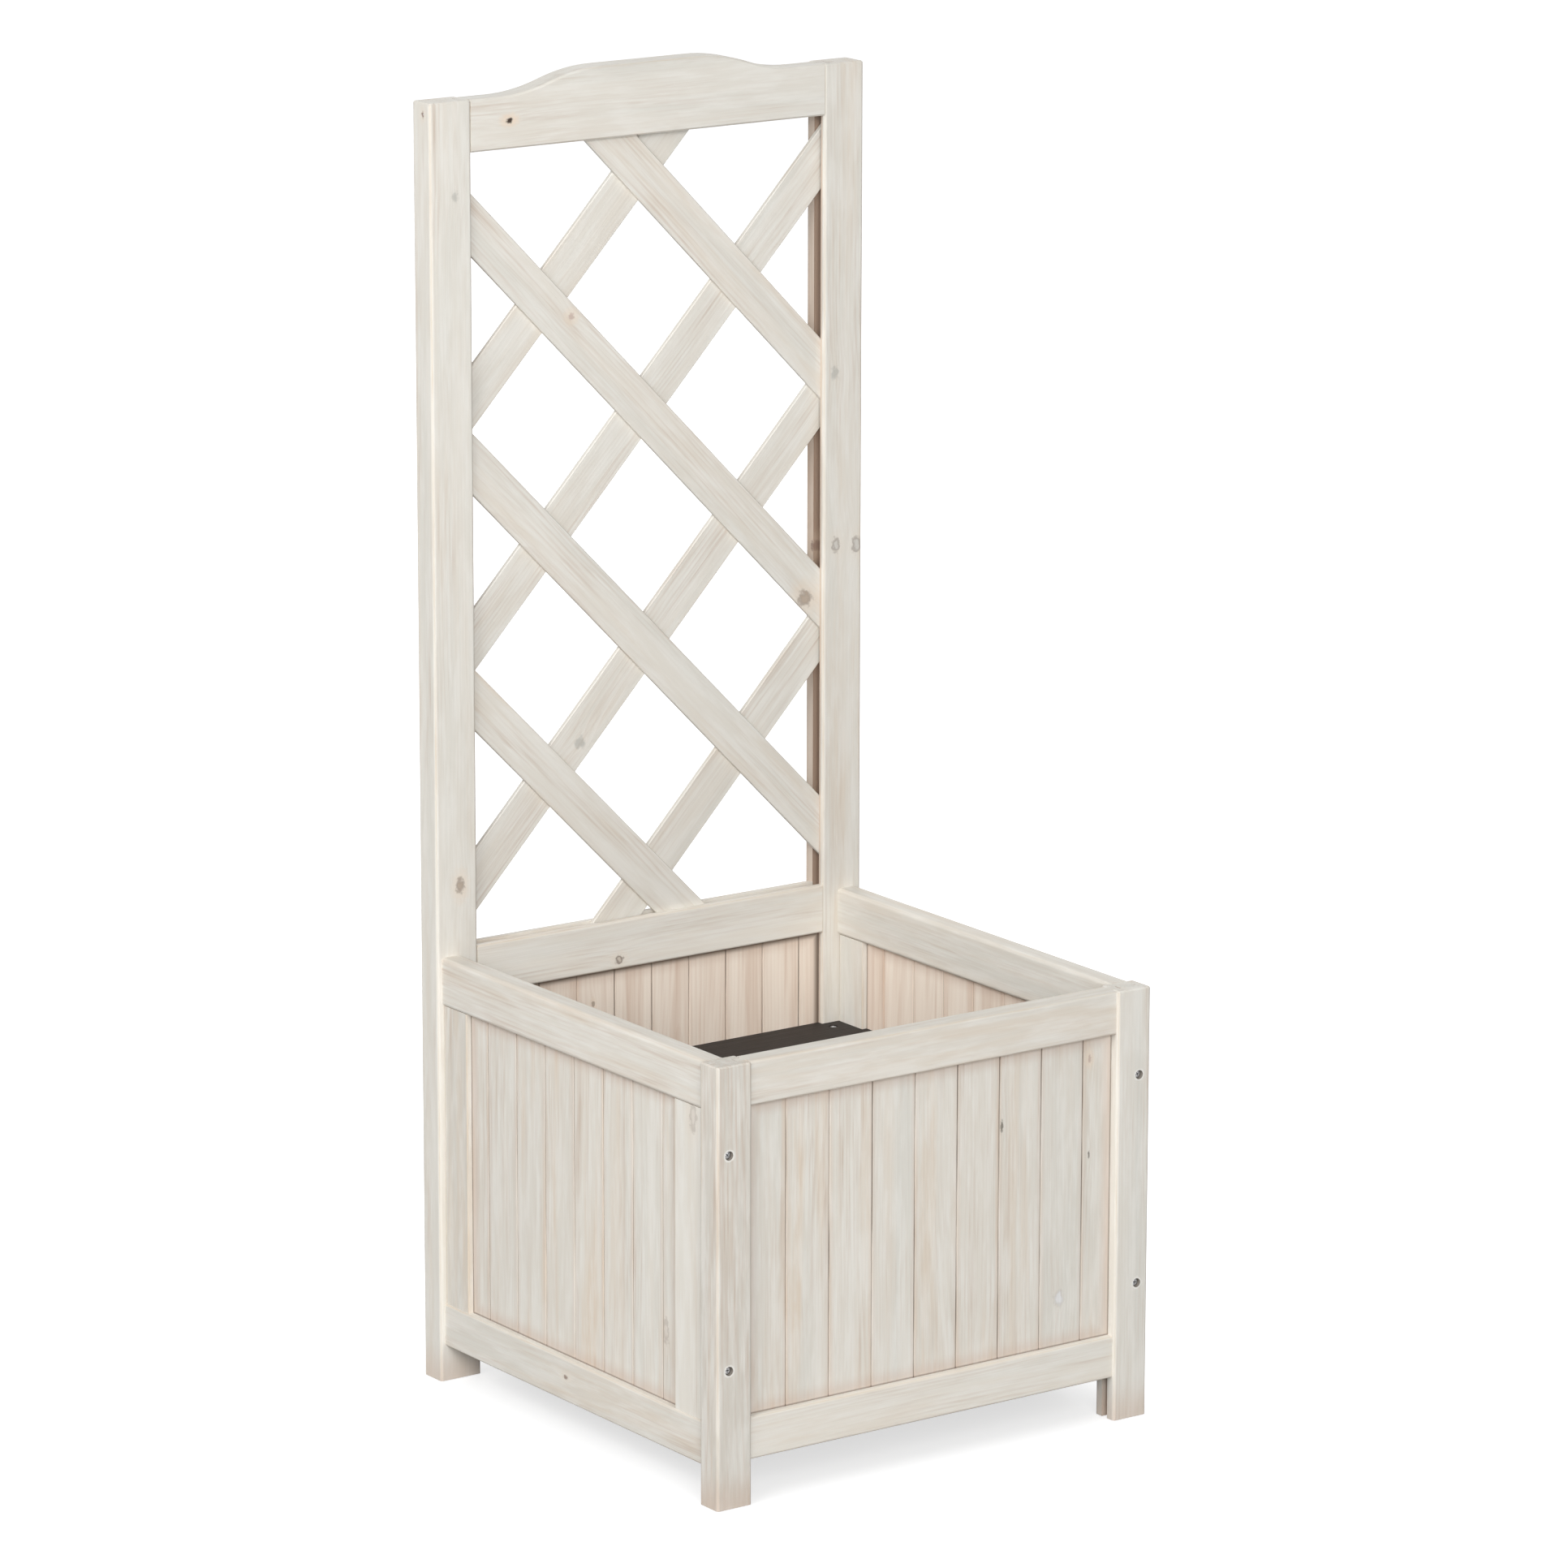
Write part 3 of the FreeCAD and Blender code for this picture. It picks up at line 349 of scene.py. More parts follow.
def groove(side, inside, walls, dark):
    """The groove of a post or leg; side is -1 on the left and 1 on the right."""
    ends = sorted((side * (inside + GROOVE_REACH), side * (inside - GROOVE_MOUTH)))
    return (ends[0], walls[0], None), (ends[1], walls[1], None), dark


def bare_places(name):
    """Low corner, high corner, and how much painted shade darkens the raw wood there."""
    places = {
        "front_board": [((None, -188.0, None), OPEN, 0.0)],
        "left_board": [((-186.6, None, None), OPEN, 0.0)],
        "right_board": [(OPEN, (186.6, None, None), 0.0)],
        "rear_boards": [(OPEN, (None, 185.3, None), 0.0)],
        "rear_left_post": [((-POST_INSIDE - 0.4, POST_BACK, TRELLIS_FOOT), OPEN, 0.35),
                           groove(-1, POST_INSIDE, POST_GROOVE, 0.9)],
        "rear_right_post": [((None, POST_BACK, None), (POST_INSIDE + 0.4, None, None), 0.35),
                            groove(1, POST_INSIDE, POST_GROOVE, 0.9)],
        "front_left_leg": [groove(-1, LEG_INSIDE, LEG_GROOVE, 0.8)],
        "front_right_leg": [groove(1, LEG_INSIDE, LEG_GROOVE, 0.8)],
    }
    return [place for start in places if name.startswith(start) for place in places[start]]


print("bare places on the right post:", len(bare_places("rear_right_post")))

# %% [markdown]
# ## Seams, worn edges and screw holes
# Where two boards meet, the brush skipped the little groove, so a thin brown line shows, broken
# where paint ran in; part of its darkness is painted shade in the groove. Sandpaper and handling
# thin the coat on every edge to a sand tint. Round the screws the coat was touched up in a paler
# white, and the sunk holes are painted dark as their shade. Each of these is a distance turned into
# a share: from the nearest seam, from the two nearest sides, or from the axis of a screw.
# %% Distance from the nearest seam of a panel
SEAMS = {  # axis across the boards, first seam, pitch, strength of the line
    "front_board": (0, -132.5, 39.25, 0.8), "left_board": (1, -114.5, 39.3, 0.55),
    "right_board": (1, -114.5, 39.3, 0.4), "rear_boards": (0, -138.6, 35.3, 0.7),
}
FRAMES = {  # first and last side of the opening in the frame, its bottom and its top
    "front_board": (-169.0, 169.0, 67.2, 306.0), "left_board": (-136.5, 144.5, 62.5, 302.0),
    "right_board": (-136.5, 144.5, 62.5, 302.0), "rear_boards": (-163.0, 163.0, 64.0, 306.0),
}


def seam_distance(finish, name, coordinates):
    """Metres from the nearest seam, metres from the frame, and how dark the seams are."""
    kind = next((start for start in SEAMS if name.startswith(start)), None)
    if kind is None:
        return None
    axis, first, pitch, strength = SEAMS[kind]
    x_y_z = finish.parts(coordinates)
    turns = finish.math("MULTIPLY_ADD", x_y_z[axis], 1 / (pitch * MM), 0.5 - first / pitch)
    off = finish.math("ABSOLUTE", finish.math("SUBTRACT", finish.math("FRACT", turns), 0.5))
    near, far, low, high = FRAMES[kind]
    rail = None
    for line, start, end in ((x_y_z[axis], near, far), (x_y_z[2], low, high)):
        for gap in (finish.math("SUBTRACT", line, start * MM),
                    finish.math("SUBTRACT", end * MM, line)):
            rail = gap if rail is None else finish.math("MINIMUM", rail, gap)
    return finish.math("MULTIPLY", off, pitch * MM), rail, strength


# %% Nearness to the long edges
EDGE_RAGGED = 2.6 * MM
EDGE_WORN = (1.1 * MM, 2.9 * MM)


def edge_wear(finish, name, coordinates, fibres):
    """How worn the coat is: 1 on an edge of a straight piece and 0 on its faces."""
    middle, half = middle_and_half(name)
    grain = grain_line(name)
    if "board" in name or max(abs(g) for g in grain) < 0.99:
        return None
    x_y_z = finish.parts(coordinates)
    distances = []
    for axis in range(3):
        if abs(grain[axis]) > 0.5:
            continue
        off = finish.math("ABSOLUTE", finish.math("SUBTRACT", x_y_z[axis], middle[axis]))
        distances.append(finish.math("SUBTRACT", half[axis], off))
    ragged = finish.math("MULTIPLY_ADD", fibres, EDGE_RAGGED, finish.math("MAXIMUM", *distances))
    return finish.span(ragged, *EDGE_WORN, 1.0, 0.0)


# %% Distance from the screws of a leg or post
SCREW_X, SCREW_HEIGHTS = 189.5, (107.0, 272.0)


def screw_distances(finish, name, coordinates):
    if name not in ("front_left_leg", "front_right_leg", "rear_left_post", "rear_right_post"):
        return []
    side = -1 if "left" in name else 1
    flat = finish.vector("MULTIPLY", coordinates, (1, 0, 1))
    centres = [(side * SCREW_X * MM, 0, height * MM) for height in SCREW_HEIGHTS]
    return [finish.vector("DISTANCE", flat, centre) for centre in centres]


print("seams, edges and screw holes are measured")

# %% [markdown]
# ## The whitewash
# Now the layers come together in the order that they have on the wood. The coat comes first, with
# its cool and warm bands, the paler daubs of the brush, and the streaks that drank it. Each span
# picks the part of a noise where a layer shows, and how strongly it shows there.
# %% Coat with its bands and streaks
def coat_layers(finish, grain, seed, tone, warmth, coolness):
    """Colour of the whitewash; warmth and coolness say how strong its bands are."""
    coat = (*[channel * tone for channel in COAT[:3]], 1.0)
    cool = finish.span(grain["cool"], 0.42, 0.68, 0.0, 0.75 * coolness)
    colour = finish.blend(cool, coat, COOL)
    warm = finish.span(grain["warm"], 0.44, 0.7, 0.12 * warmth, 0.85 * warmth)
    colour = finish.blend(warm, colour, WARM)
    colour = finish.blend(finish.span(grain["daubs"], 0.4, 0.66, 0.0, 0.45), colour, DAUB)
    shift = 0.05 * math.sin(seed * 7.7)
    thin = finish.span(grain["thin"], 0.4 + shift, 0.68 + shift, 0.15, 1.0)
    streaks = finish.span(grain["streaks"], 0.5, 0.76, 0.0, 0.42)
    through = finish.math("MULTIPLY_ADD", grain["rings"], 0.15, streaks)
    through = finish.math("ADD", through, finish.span(grain["fibres"], 0.4, 0.72, -0.05, 0.2))
    through = finish.math("MULTIPLY", through, thin, clamp=True)
    return finish.blend(through, colour, SOAKED)


print("coat_layers() is ready")

# %% [markdown]
# Raw softwood is yellower than the coat, and its streaks are stronger. In the grooves and on the
# inner faces of the posts, it is darkened as painted shade.
# %% Raw wood in the bare places
def raw_layers(finish, name, coordinates, grain, colour):
    streaks = finish.math("MULTIPLY_ADD", finish.span(grain["warm"], 0.4, 0.7), 0.34, finish.span(
        grain["streaks"], 0.5, 0.76, 0.0, 0.3))
    raw_share = finish.math("MULTIPLY_ADD", grain["rings"], 0.08, streaks, clamp=True)
    raw = finish.blend(raw_share, RAW_WOOD, RAW_STREAK)
    for low, high, dark in bare_places(name):
        bare = inside_box(finish, coordinates, low, high, 0.5 * MM)
        # a darkening share above zero paints shade over the raw wood in the grooves and on the
        # posts' inner faces
        colour = finish.blend(bare, colour, finish.blend(dark, raw, GROOVE_SHADE) if dark else raw)
    return colour


print("raw_layers() is ready")

# %% [markdown]
# A panel is a little pinker near its frame and beside its seams, and a painted shadow lies along
# the frame. At the back, where the rail overhangs the boards, the painted shadow is wide and dark.
# %% Seams and frame of a panel
SEAM_TINT, SEAM_LINE = (0.8 * MM, 5 * MM), (0.35 * MM, 0.85 * MM)
ROSY_REACH, ROSY_SHARE = 14 * MM, 0.36


def panel_layers(finish, name, coordinates, grain, colour):
    seams = seam_distance(finish, name, coordinates)
    if seams is None:
        return colour
    seam, rail, strength = seams
    colour = finish.blend(finish.span(seam, *SEAM_TINT, 0.14, 0.0), colour, RAW_STREAK)
    colour = finish.blend(finish.span(rail, 1 * MM, ROSY_REACH, ROSY_SHARE, 0.0), colour, ROSY)
    broken = finish.span(grain["thin"], 0.36, 0.6, 0.12 * strength, strength)
    line = finish.math("MULTIPLY", broken, finish.span(seam, *SEAM_LINE, 1.0, 0.0))
    # the seam line: bare wood in the groove, made darker as painted shade
    colour = finish.blend(line, colour, SEAM_AND_SHADE)
    # painted shadow along the frame, wide and dark under the overhanging rear rail
    shadow_share, reach = (0.95, 6.5 * MM) if name == "rear_boards" else (0.6, 1.6 * MM)
    return finish.blend(finish.span(rail, 0.4 * MM, reach, shadow_share, 0.0), colour, SEAM_AND_SHADE)


print("panel_layers() is ready")

# %% [markdown]
# A knot bleeds through the coat: first its pale halo, then the plug, then the thin ring of bark.
# The numbers are distances in radii of the knot.
# %% Knots over the coat
HALO, PLUG, BARK_INSIDE, BARK_OUTSIDE = (1.5, 3.4), (1.0, 1.6), (0.9, 1.3), (1.35, 1.8)


def knot_layers(finish, knots, colour):
    for knot in knots:
        plug_colour, plug_share, bark_share, halo_share, _ = KNOT_KINDS[knot["kind"]]
        halo = finish.span(knot["distance"], *HALO, halo_share, 0.0)
        colour = finish.blend(halo, colour, PEACH)
        plug = finish.span(knot["distance"], *PLUG, plug_share, 0.0)
        colour = finish.blend(plug, colour, plug_colour)
        if bark_share:
            outside = finish.span(knot["distance"], *BARK_OUTSIDE, bark_share, 0.0)
            bark = finish.math("MULTIPLY", outside, finish.span(knot["distance"], *BARK_INSIDE))
            colour = finish.blend(bark, colour, BARK)
    return colour


print("knot_layers() is ready")

# %% [markdown]
# Edges wear thin, the feet turn browner towards the ground, and the screw holes are painted dark as
# shade inside a touched-up ring. The coat is chalky, so it is rough. The fibres and the late wood
# stand up a little, which the Bump node turns into relief.
# %% Whitewashed wood for one piece
WORN_SHARE = 0.72
FOOT_TINT = (2 * MM, 34 * MM, 0.3)  # from this height to that one, and its share at the ground
TOUCHED_UP, HOLE_EDGE = (5.4 * MM, 6.6 * MM), (3.45 * MM, 3.6 * MM)


def wooden_shader(finish, colour, roughness, height, strength, shine):
    """A rough surface with the relief of the grain."""
    relief = finish.node("ShaderNodeBump", {
        "Height": height, "Strength": strength, "Distance": 0.4 * MM}).outputs[0]
    shader = finish.node("ShaderNodeBsdfPrincipled", {
        "Base Color": colour, "Roughness": roughness, "Normal": relief,
        "Specular IOR Level": shine})
    finish.node("ShaderNodeOutputMaterial", {"Surface": shader.outputs[0]})
    return finish.material


def whitewashed(name, seed, tone, warmth, coolness):
    """The finish of one outer piece."""
    finish = Finish("whitewash_" + name)
    coordinates = finish.node("ShaderNodeTexCoord").outputs["Object"]
    knots = knot_fields(finish, name, coordinates)
    grain = timber(finish, name, seed, knots)
    colour = coat_layers(finish, grain, seed, tone, warmth, coolness)
    colour = raw_layers(finish, name, coordinates, grain, colour)
    worn = edge_wear(finish, name, coordinates, grain["fibres"])
    if worn is not None:
        colour = finish.blend(finish.math("MULTIPLY", worn, WORN_SHARE), colour, WORN)
    if "leg" in name or "post" in name:
        low, high, share = FOOT_TINT
        height = finish.parts(coordinates)[2]
        colour = finish.blend(finish.span(height, low, high, share, 0.0), colour, RAW_STREAK)
    colour = panel_layers(finish, name, coordinates, grain, colour)
    colour = knot_layers(finish, knots, colour)
    for distance in screw_distances(finish, name, coordinates):
        ragged = finish.math("MULTIPLY_ADD", grain["fibres"], 2.4 * MM, distance)
        colour = finish.blend(finish.span(ragged, *TOUCHED_UP, 0.8, 0.0), colour, DAUB)
        # painted shade inside the sunk hole of each screw
        colour = finish.blend(finish.span(distance, *HOLE_EDGE, 1.0, 0.0), colour, HOLE_SHADE)
    roughness = finish.math("MULTIPLY_ADD", grain["fibres"], 0.18, 0.62)
    height = finish.math("MULTIPLY_ADD", grain["rings"], 0.4, grain["fibres"])
    return wooden_shader(finish, colour, roughness, height, 0.18, 0.25)


print("whitewashed() is ready")

# %% [markdown]
# ## One finish for each wooden piece
# Each CAD piece keeps its mesh, and only its material slot changes. The tone differs a little from
# board to board, as it does where boards come from different trees: the boards are the warmest,
# the arched rail and the rear slats the coolest. The trellis mid rail's tone is partly painted
# light: the dark box below it keeps light from it, so its coat is painted paler than the rest.
# %% Whitewash on every outer piece
METAL = ("assembly_screws", "floor_screws", "arch_pins")
HIDDEN_WOOD = ("left_bearer", "right_bearer", "floor_panel")
BANDS = {  # tone, warmth, coolness
    "arched_top_rail": (0.93, 0.3, 0.6), "lattice_back": (0.96, 0.3, 0.6),
    "lattice_front": (0.95, 0.45, 0.4), "rear_left_post": (0.96, 0.4, 0.4),
    "rear_right_post": (0.95, 0.5, 0.4), "left_board": (0.92, 0.8, 0.2),
    "front_board": (0.9, 0.65, 0.4), "front_left_leg": (0.81, 0.65, 0.3),
    "front_right_leg": (0.94, 0.15, 0.9), "left_rear_stile": (0.85, 0.8, 0.2),
    "left_front_stile": (0.98, 0.4, 0.4), "left": (0.94, 0.45, 0.4),
    "front_bottom_rail": (0.99, 0.3, 0.4), "front": (0.92, 0.5, 0.4),
    "right_board": (0.98, 0.5, 0.4), "right": (0.96, 0.3, 0.5),
    # the mid rail's tone above one paints light into its coat, for the light that the box keeps
    # from it
    "trellis_mid_rail": (1.05, 0.5, 0.4), "": (0.97, 0.45, 0.5),
}
outer = [name for name in sorted(nodes) if name not in METAL + HIDDEN_WOOD]


def dress(name, material):
    """Gives a CAD piece its material."""
    if not nodes[name].material_slots:
        nodes[name].data.materials.append(material)
    for slot in nodes[name].material_slots:
        slot.material = material


for seed, name in enumerate(outer, start=1):
    tone, warmth, coolness = next(BANDS[start] for start in BANDS if name.startswith(start))
    sway = math.sin(seed * 12.9)
    spread = 0.3 if "board" in name else 0.1
    dress(name, whitewashed(name, seed, tone * (1 + 0.12 * spread * sway),
                            warmth + spread * math.sin(seed * 4.7), coolness + spread * sway))
print(len(outer), "pieces are whitewashed")

# %% [markdown]
# ## The dark floor and the raw bearers
# Inside the box lies a dark, stained panel on two raw bearers. Almost no light gets there, so the
# stain only needs a faint grain and a dull sheen.
# %% Stained floor and raw bearers
STAIN, STAIN_STREAK = linear(56, 50, 47), linear(41, 36, 33)


def plain_wood(name, seed, pale, dark, least_roughness):
    finish = Finish("raw_" + name)
    grain = timber(finish, name, seed, [])
    share = finish.math("MULTIPLY_ADD", grain["rings"], 0.45, finish.math(
        "MULTIPLY", grain["streaks"], 0.5), clamp=True)
    colour = finish.blend(share, pale, dark)
    roughness = finish.math("MULTIPLY_ADD", grain["fibres"], 0.25, least_roughness)
    return wooden_shader(finish, colour, roughness, grain["fibres"], 0.3, 0.3)


dress("floor_panel", plain_wood("floor_panel", 71, STAIN, STAIN_STREAK, 0.55))
for seed, name in ((72, "left_bearer"), (73, "right_bearer")):
    dress(name, plain_wood(name, seed, RAW_WOOD, RAW_STREAK, 0.6))
print("the floor is stained and the bearers are raw")

# %% [markdown]
# ## Zinc-plated steel
# The screws and pins are zinc-plated: grey and slightly mottled. The recess of a screw and the
# foot of its head are painted nearly black as their shade. Both lie below the top of the dome, so
# the depth below it finds them.
# %% Zinc
# the last colour is painted shade, for the recess of a screw and the foot of its head
ZINC, DULL_ZINC, RECESS_SHADE = linear(228, 229, 231), linear(196, 196, 197), linear(62, 58, 55)
RECESS_SHADE_DEPTH = (0.3 * MM, 0.75 * MM)


def zinc(name, least_roughness, axis=None, top=0.0):
    """Zinc plate; with an axis, painted shade darkens it where it lies below the tops of the heads.
    """
    finish = Finish(name)
    coordinates = finish.node("ShaderNodeTexCoord").outputs["Object"]
    mottle = finish.noise(coordinates, scale=900, detail=3, roughness=0.6)["Fac"]
    colour = finish.blend(finish.span(mottle, 0.35, 0.7), ZINC, DULL_ZINC)
    if axis is not None:
        reach = finish.math("ABSOLUTE", finish.parts(coordinates)[axis])
        depth = finish.math("SUBTRACT", top * MM, reach)
        # painted shade below the tops of the heads
        colour = finish.blend(finish.span(depth, *RECESS_SHADE_DEPTH, 0.0, 0.92), colour, RECESS_SHADE)
    roughness = finish.math("MULTIPLY_ADD", mottle, 0.25, least_roughness)
    relief = finish.node("ShaderNodeBump", {
        "Height": mottle, "Strength": 0.2, "Distance": 0.1 * MM}).outputs[0]
    shader = finish.node("ShaderNodeBsdfPrincipled", {
        "Base Color": colour, "Roughness": roughness, "Normal": relief, "Metallic": 0.6})
    finish.node("ShaderNodeOutputMaterial", {"Surface": shader.outputs[0]})
    return finish.material


dress("arch_pins", zinc("zinc_pins", 0.4))
print("the pins are zinc-plated")

# %% [markdown]
# ## Screws with a crossed recess
# The CAD screws have the right size and place, but their heads are flat discs. On the real ones a
# low dome with a crossed recess shows inside each sunk hole. A disc could be cut with a boolean,
# which leaves slivers. Here a small square grid is pushed out into a disc instead, so the cross
# is already in its faces: those faces are extruded inwards and drawn together, and the rim is
# extruded down into the head, the neck and the shank.
# %% One screw, head up, with its head's outer face at zero
HEAD_RADIUS, HEAD_HEIGHT, DOME = 3.3 * MM, 2.4 * MM, 0.7 * MM
SHANK_RADIUS, RECESS = 1.8 * MM, 1.9 * MM
GRID_CELLS, ARM_CELLS = 9, 2  # the arms are one cell wide and reach this far from the middle one
RECESS_TAPER = 0.6


def add_screw(shape, length, placement):
    """Adds one screw to a mesh under construction."""
    screw = bmesh.new()
    bmesh.ops.create_grid(screw, x_segments=GRID_CELLS, y_segments=GRID_CELLS, size=1.0)
    cell = 2.0 / GRID_CELLS
    arms = [face for face in screw.faces
            if min(abs(c) for c in face.calc_center_median().xy) < 0.6 * cell
            and max(abs(c) for c in face.calc_center_median().xy) < (ARM_CELLS + 0.1) * cell]
    for vertex in screw.verts:
        x, y = vertex.co.xy
        vertex.co.x = x * math.sqrt(1 - y * y / 2)
        vertex.co.y = y * math.sqrt(1 - x * x / 2)
    for vertex in screw.verts:
        vertex.co.z = -DOME * vertex.co.xy.length_squared
    bmesh.ops.scale(screw, vec=(HEAD_RADIUS, HEAD_RADIUS, 1), verts=screw.verts)
    rim = [edge for edge in screw.edges if edge.is_boundary]
    sunk = bmesh.ops.extrude_face_region(screw, geom=arms)["geom"]
    sunk = [part for part in sunk if isinstance(part, bmesh.types.BMVert)]
    bmesh.ops.scale(screw, vec=(RECESS_TAPER, RECESS_TAPER, 1), verts=sunk)
    bmesh.ops.translate(screw, vec=(0, 0, -RECESS), verts=sunk)
    bmesh.ops.delete(screw, geom=[face for face in arms if face.is_valid], context="FACES_ONLY")
    steps = ((1.0, -HEAD_HEIGHT + DOME), (SHANK_RADIUS / HEAD_RADIUS, 0.0),
             (1.0, HEAD_HEIGHT - length))
    for width, drop in steps:
        made = bmesh.ops.extrude_edge_only(screw, edges=rim)["geom"]
        rim = [part for part in made if isinstance(part, bmesh.types.BMEdge)]
        ring = [part for part in made if isinstance(part, bmesh.types.BMVert)]
        bmesh.ops.scale(screw, vec=(width, width, 1), verts=ring)
        bmesh.ops.translate(screw, vec=(0, 0, drop), verts=ring)
    bmesh.ops.edgeloop_fill(screw, edges=rim)
    bmesh.ops.remove_doubles(screw, verts=screw.verts, dist=1e-6)
    bmesh.ops.recalc_face_normals(screw, faces=screw.faces)
    bmesh.ops.transform(screw, matrix=placement, verts=screw.verts)
    mesh = bpy.data.meshes.new("one_screw")
    screw.to_mesh(mesh)
    screw.free()
    shape.from_mesh(mesh)
    bpy.data.meshes.remove(mesh)


print("add_screw() is ready")


# %% All the screws
SIDE_TOP, FLOOR_TOP = 197.5, 230.6  # outer faces of the heads, millimetres from the middle or up
SIDE_LENGTH, FLOOR_LENGTH = 38 * MM, 24 * MM
FLOOR_X, FLOOR_Y = (-166, 166), (-166, 165)


def screws(name, node, length, placements, axis, top):
    """Replaces a node of flat-headed screws; their heads face along an axis."""
    shape = bmesh.new()
    for placement in placements:
        add_screw(shape, length, placement)
    mesh = bpy.data.meshes.new(name)
    shape.to_mesh(mesh)
    shape.free()
    made = bpy.data.objects.new(name, mesh)
    bpy.context.scene.collection.objects.link(made)
    mesh.materials.append(zinc("zinc_" + name, 0.3, axis, top))
    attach(made, "root")
    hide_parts(node)
    print(name, "has", len(mesh.polygons), "faces")


def facing(place, tilt, spin):
    """Placement of a screw: its head tilted about X and turned a little in its hole."""
    turn = Matrix.Rotation(math.radians(tilt), 4, "X") @ Matrix.Rotation(spin, 4, "Z")
    return Matrix.Translation([value * MM for value in place]) @ turn


corners = [(x, z) for x in (-SCREW_X, SCREW_X) for z in SCREW_HEIGHTS]
front = [facing((x, -SIDE_TOP, z), 90, 0.7 * number) for number, (x, z) in enumerate(corners)]
rear = [facing((x, SIDE_TOP, z), -90, 0.5 + number) for number, (x, z) in enumerate(corners)]
screws("assembly_screw_set", "assembly_screws", SIDE_LENGTH, front + rear, 1, SIDE_TOP)
floor_places = [(x, y, FLOOR_TOP) for x in FLOOR_X for y in FLOOR_Y]
floor_turns = [facing(place, 0, 0.4 * number) for number, place in enumerate(floor_places)]
screws("floor_screw_set", "floor_screws", FLOOR_LENGTH, floor_turns, 2, FLOOR_TOP)

# %% [markdown]
# ## Floor and background
# The planter stands on a white studio floor. The floor is an ordinary matt surface for the light
# that bounces off it. Only what the camera sees of it gets some light of its own, through the
# Light Path node, so the floor ends in white. That glow is weaker under the planter, which paints
# a soft shadow there over the real one.
# %% Studio floor
FLOOR_HALF, FLOOR_DROP = 40.0, 0.5 * MM
FLOOR_PAINT = (0.45, 0.45, 0.45, 1.0)
PAINTED_SHADOW_EDGE = (0.17, 0.27)  # metres from the middle; the planter ends at 0.2
PAINTED_SHADOW_GLOW, GLOW_AROUND = 0.65, 1.0


def studio_floor():
    shape = bmesh.new()
    bmesh.ops.create_grid(shape, x_segments=1, y_segments=1, size=FLOOR_HALF)
    mesh = bpy.data.meshes.new("studio_floor")
    shape.to_mesh(mesh)
    shape.free()
    floor = bpy.data.objects.new("studio_floor", mesh)
    floor.location.z = -FLOOR_DROP
    bpy.context.scene.collection.objects.link(floor)
    finish = Finish("studio_floor")
    matt = finish.node("ShaderNodeBsdfDiffuse", {"Color": FLOOR_PAINT}).outputs[0]
    coordinates = finish.node("ShaderNodeTexCoord").outputs["Object"]
    x, y, _ = finish.parts(finish.vector("ABSOLUTE", coordinates))
    off = finish.math("MAXIMUM", x, y)
    # a lower glow under the planter paints a shadow there
    strength = finish.span(off, *PAINTED_SHADOW_EDGE, PAINTED_SHADOW_GLOW, GLOW_AROUND)
    glow = finish.node("ShaderNodeEmission", {
        "Color": (1, 1, 1, 1), "Strength": strength}).outputs[0]
    seen = finish.node("ShaderNodeAddShader", {0: matt, 1: glow}).outputs[0]
    path = finish.node("ShaderNodeLightPath").outputs
    direct = finish.math("MAXIMUM", path["Is Camera Ray"], finish.math(
        "MAXIMUM", path["Is Glossy Ray"], path["Is Transmission Ray"]))
    mixed = finish.node("ShaderNodeMixShader", {0: direct, 1: matt, 2: seen}).outputs[0]
    finish.node("ShaderNodeOutputMaterial", {"Surface": mixed})
    mesh.materials.append(finish.material)


studio_floor()
print("the floor is", 2 * FLOOR_HALF, "m across")

# %% [markdown]
# ## Light
# The photograph has even light from every side, a little more from the front and from the left.
# The world gives the even part. Three large, soft lamps add the rest: one on the left, one in
# front, and one behind on the right, which lights the back and the inside of the box. Their levels
# were set so that a colour renders about as it is written. What the camera and the zinc see of the
# world is plain white.
# %% World and lamps
WORLD_LEVEL = 0.22
LAMP_SIZE, LAMP_TARGET = 2.6, Vector((0, 0, 0.4))
LAMPS = {  # place in metres, power in watts
    "key_left": ((-3.8, -1.4, 3.0), 120),
    "fill_front": ((-2.2, -4.2, 2.2), 168),
    "back_right": ((2.2, 4.2, 2.4), 86),
}


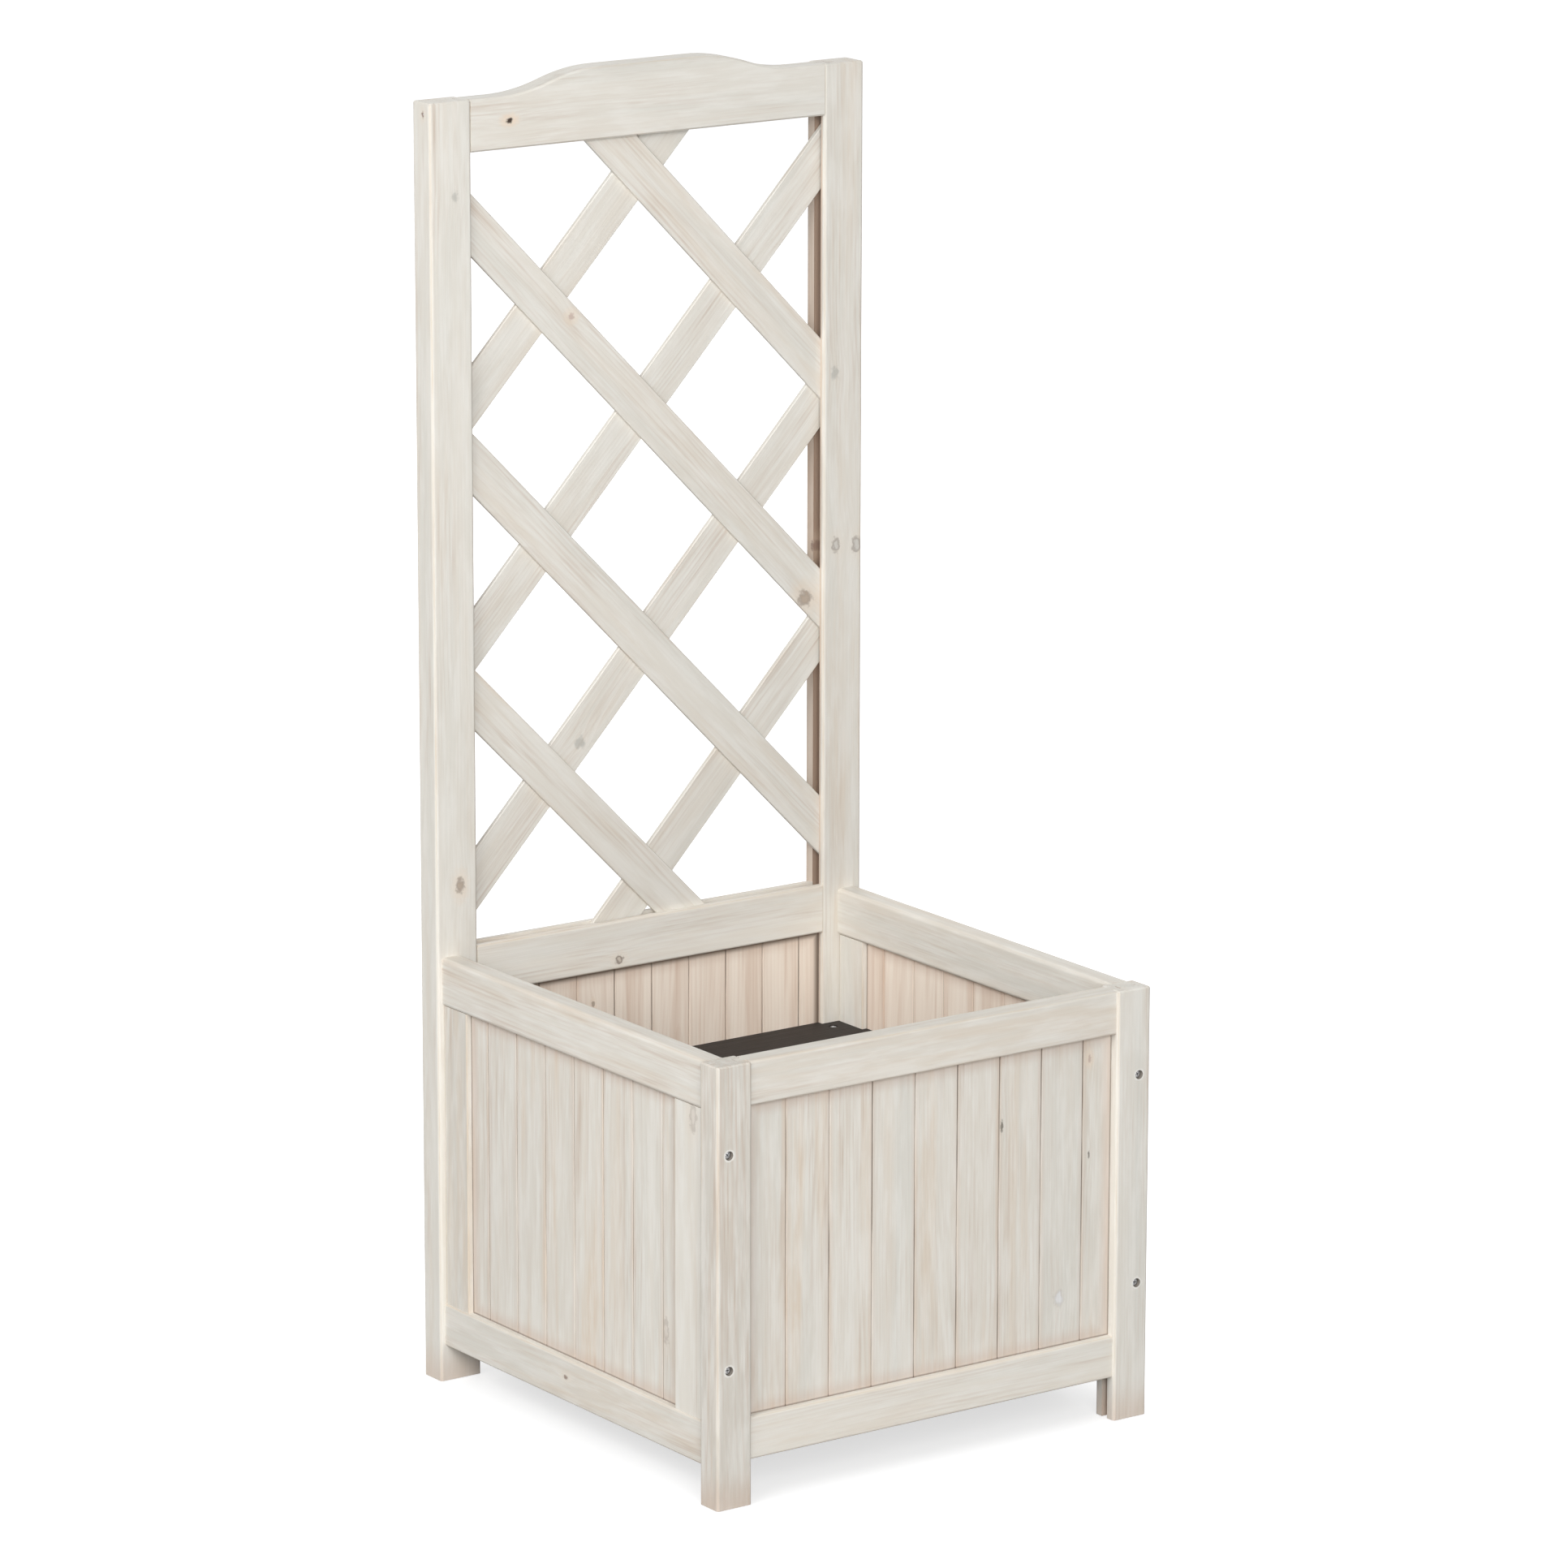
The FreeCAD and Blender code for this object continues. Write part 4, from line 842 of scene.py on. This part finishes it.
def studio_world():
    world = bpy.data.worlds.new("studio")
    bpy.context.scene.world = world
    world.use_nodes = True
    tree = world.node_tree
    tree.nodes.clear()
    light = tree.nodes.new("ShaderNodeBackground")
    light.inputs["Strength"].default_value = WORLD_LEVEL
    white = tree.nodes.new("ShaderNodeBackground")
    white.inputs["Color"].default_value = (1, 1, 1, 1)
    light.inputs["Color"].default_value = (1, 1, 1, 1)
    path = tree.nodes.new("ShaderNodeLightPath")
    glossy = tree.nodes.new("ShaderNodeMath")
    glossy.operation = "MAXIMUM"
    seen = tree.nodes.new("ShaderNodeMath")
    seen.operation = "MAXIMUM"
    mix = tree.nodes.new("ShaderNodeMixShader")
    output = tree.nodes.new("ShaderNodeOutputWorld")
    join = tree.links.new
    join(path.outputs["Is Glossy Ray"], glossy.inputs[0])
    join(path.outputs["Is Transmission Ray"], glossy.inputs[1])
    join(path.outputs["Is Camera Ray"], seen.inputs[0])
    join(glossy.outputs[0], seen.inputs[1])
    join(seen.outputs[0], mix.inputs[0])
    join(light.outputs[0], mix.inputs[1])
    join(white.outputs[0], mix.inputs[2])
    join(mix.outputs[0], output.inputs["Surface"])


def lamp(name, place, power):
    """A square soft lamp that points at the planter."""
    data = bpy.data.lights.new(name, "AREA")
    data.size = LAMP_SIZE
    data.energy = power
    made = bpy.data.objects.new(name, data)
    made.location = place
    made.rotation_euler = (LAMP_TARGET - Vector(place)).to_track_quat("-Z", "Y").to_euler()
    bpy.context.scene.collection.objects.link(made)


studio_world()
for name, (place, power) in LAMPS.items():
    lamp(name, place, power)
print("world at", WORLD_LEVEL, "and", len(LAMPS), "lamps")

# %% [markdown]
# ## Camera
# The camera stands left of the front, at a little less than twice the height of the planter, and
# looks down at it from almost six metres, so the verticals stay nearly parallel. Its place was
# worked out from the edges of the planter in the photograph.
# %% Camera
CAMERA_PLACE = Vector((-3.23026, -4.56046, 1.84499))
YAW, PITCH, ROLL = (math.radians(angle) for angle in (35.316, 13.674, 0.099))
FOCAL_PIXELS, IMAGE_PIXELS, SENSOR = 9343, 1932, 36.0
FAR_LIMIT = 200.0  # metres, past the end of the floor


def set_camera():
    forward = Vector((math.sin(YAW) * math.cos(PITCH), math.cos(YAW) * math.cos(PITCH),
                      -math.sin(PITCH)))
    level = Vector((math.cos(YAW), -math.sin(YAW), 0))
    upward = level.cross(forward)
    right = level * math.cos(ROLL) + upward * math.sin(ROLL)
    top = upward * math.cos(ROLL) - level * math.sin(ROLL)
    data = bpy.data.cameras.new("camera")
    data.sensor_width = SENSOR
    data.lens = FOCAL_PIXELS / IMAGE_PIXELS * SENSOR
    data.clip_end = FAR_LIMIT
    camera = bpy.data.objects.new("camera", data)
    axes = Matrix((right, top, -forward)).transposed()
    camera.matrix_world = Matrix.Translation(CAMERA_PLACE) @ axes.to_4x4()
    bpy.context.scene.collection.objects.link(camera)
    bpy.context.scene.camera = camera
    return data.lens


print("a lens of", round(set_camera(), 1), "mm")

# %% [markdown]
# ## Colour
# Standard keeps a colour as it was mixed.
# %% View transform
bpy.context.scene.view_settings.view_transform = "Standard"
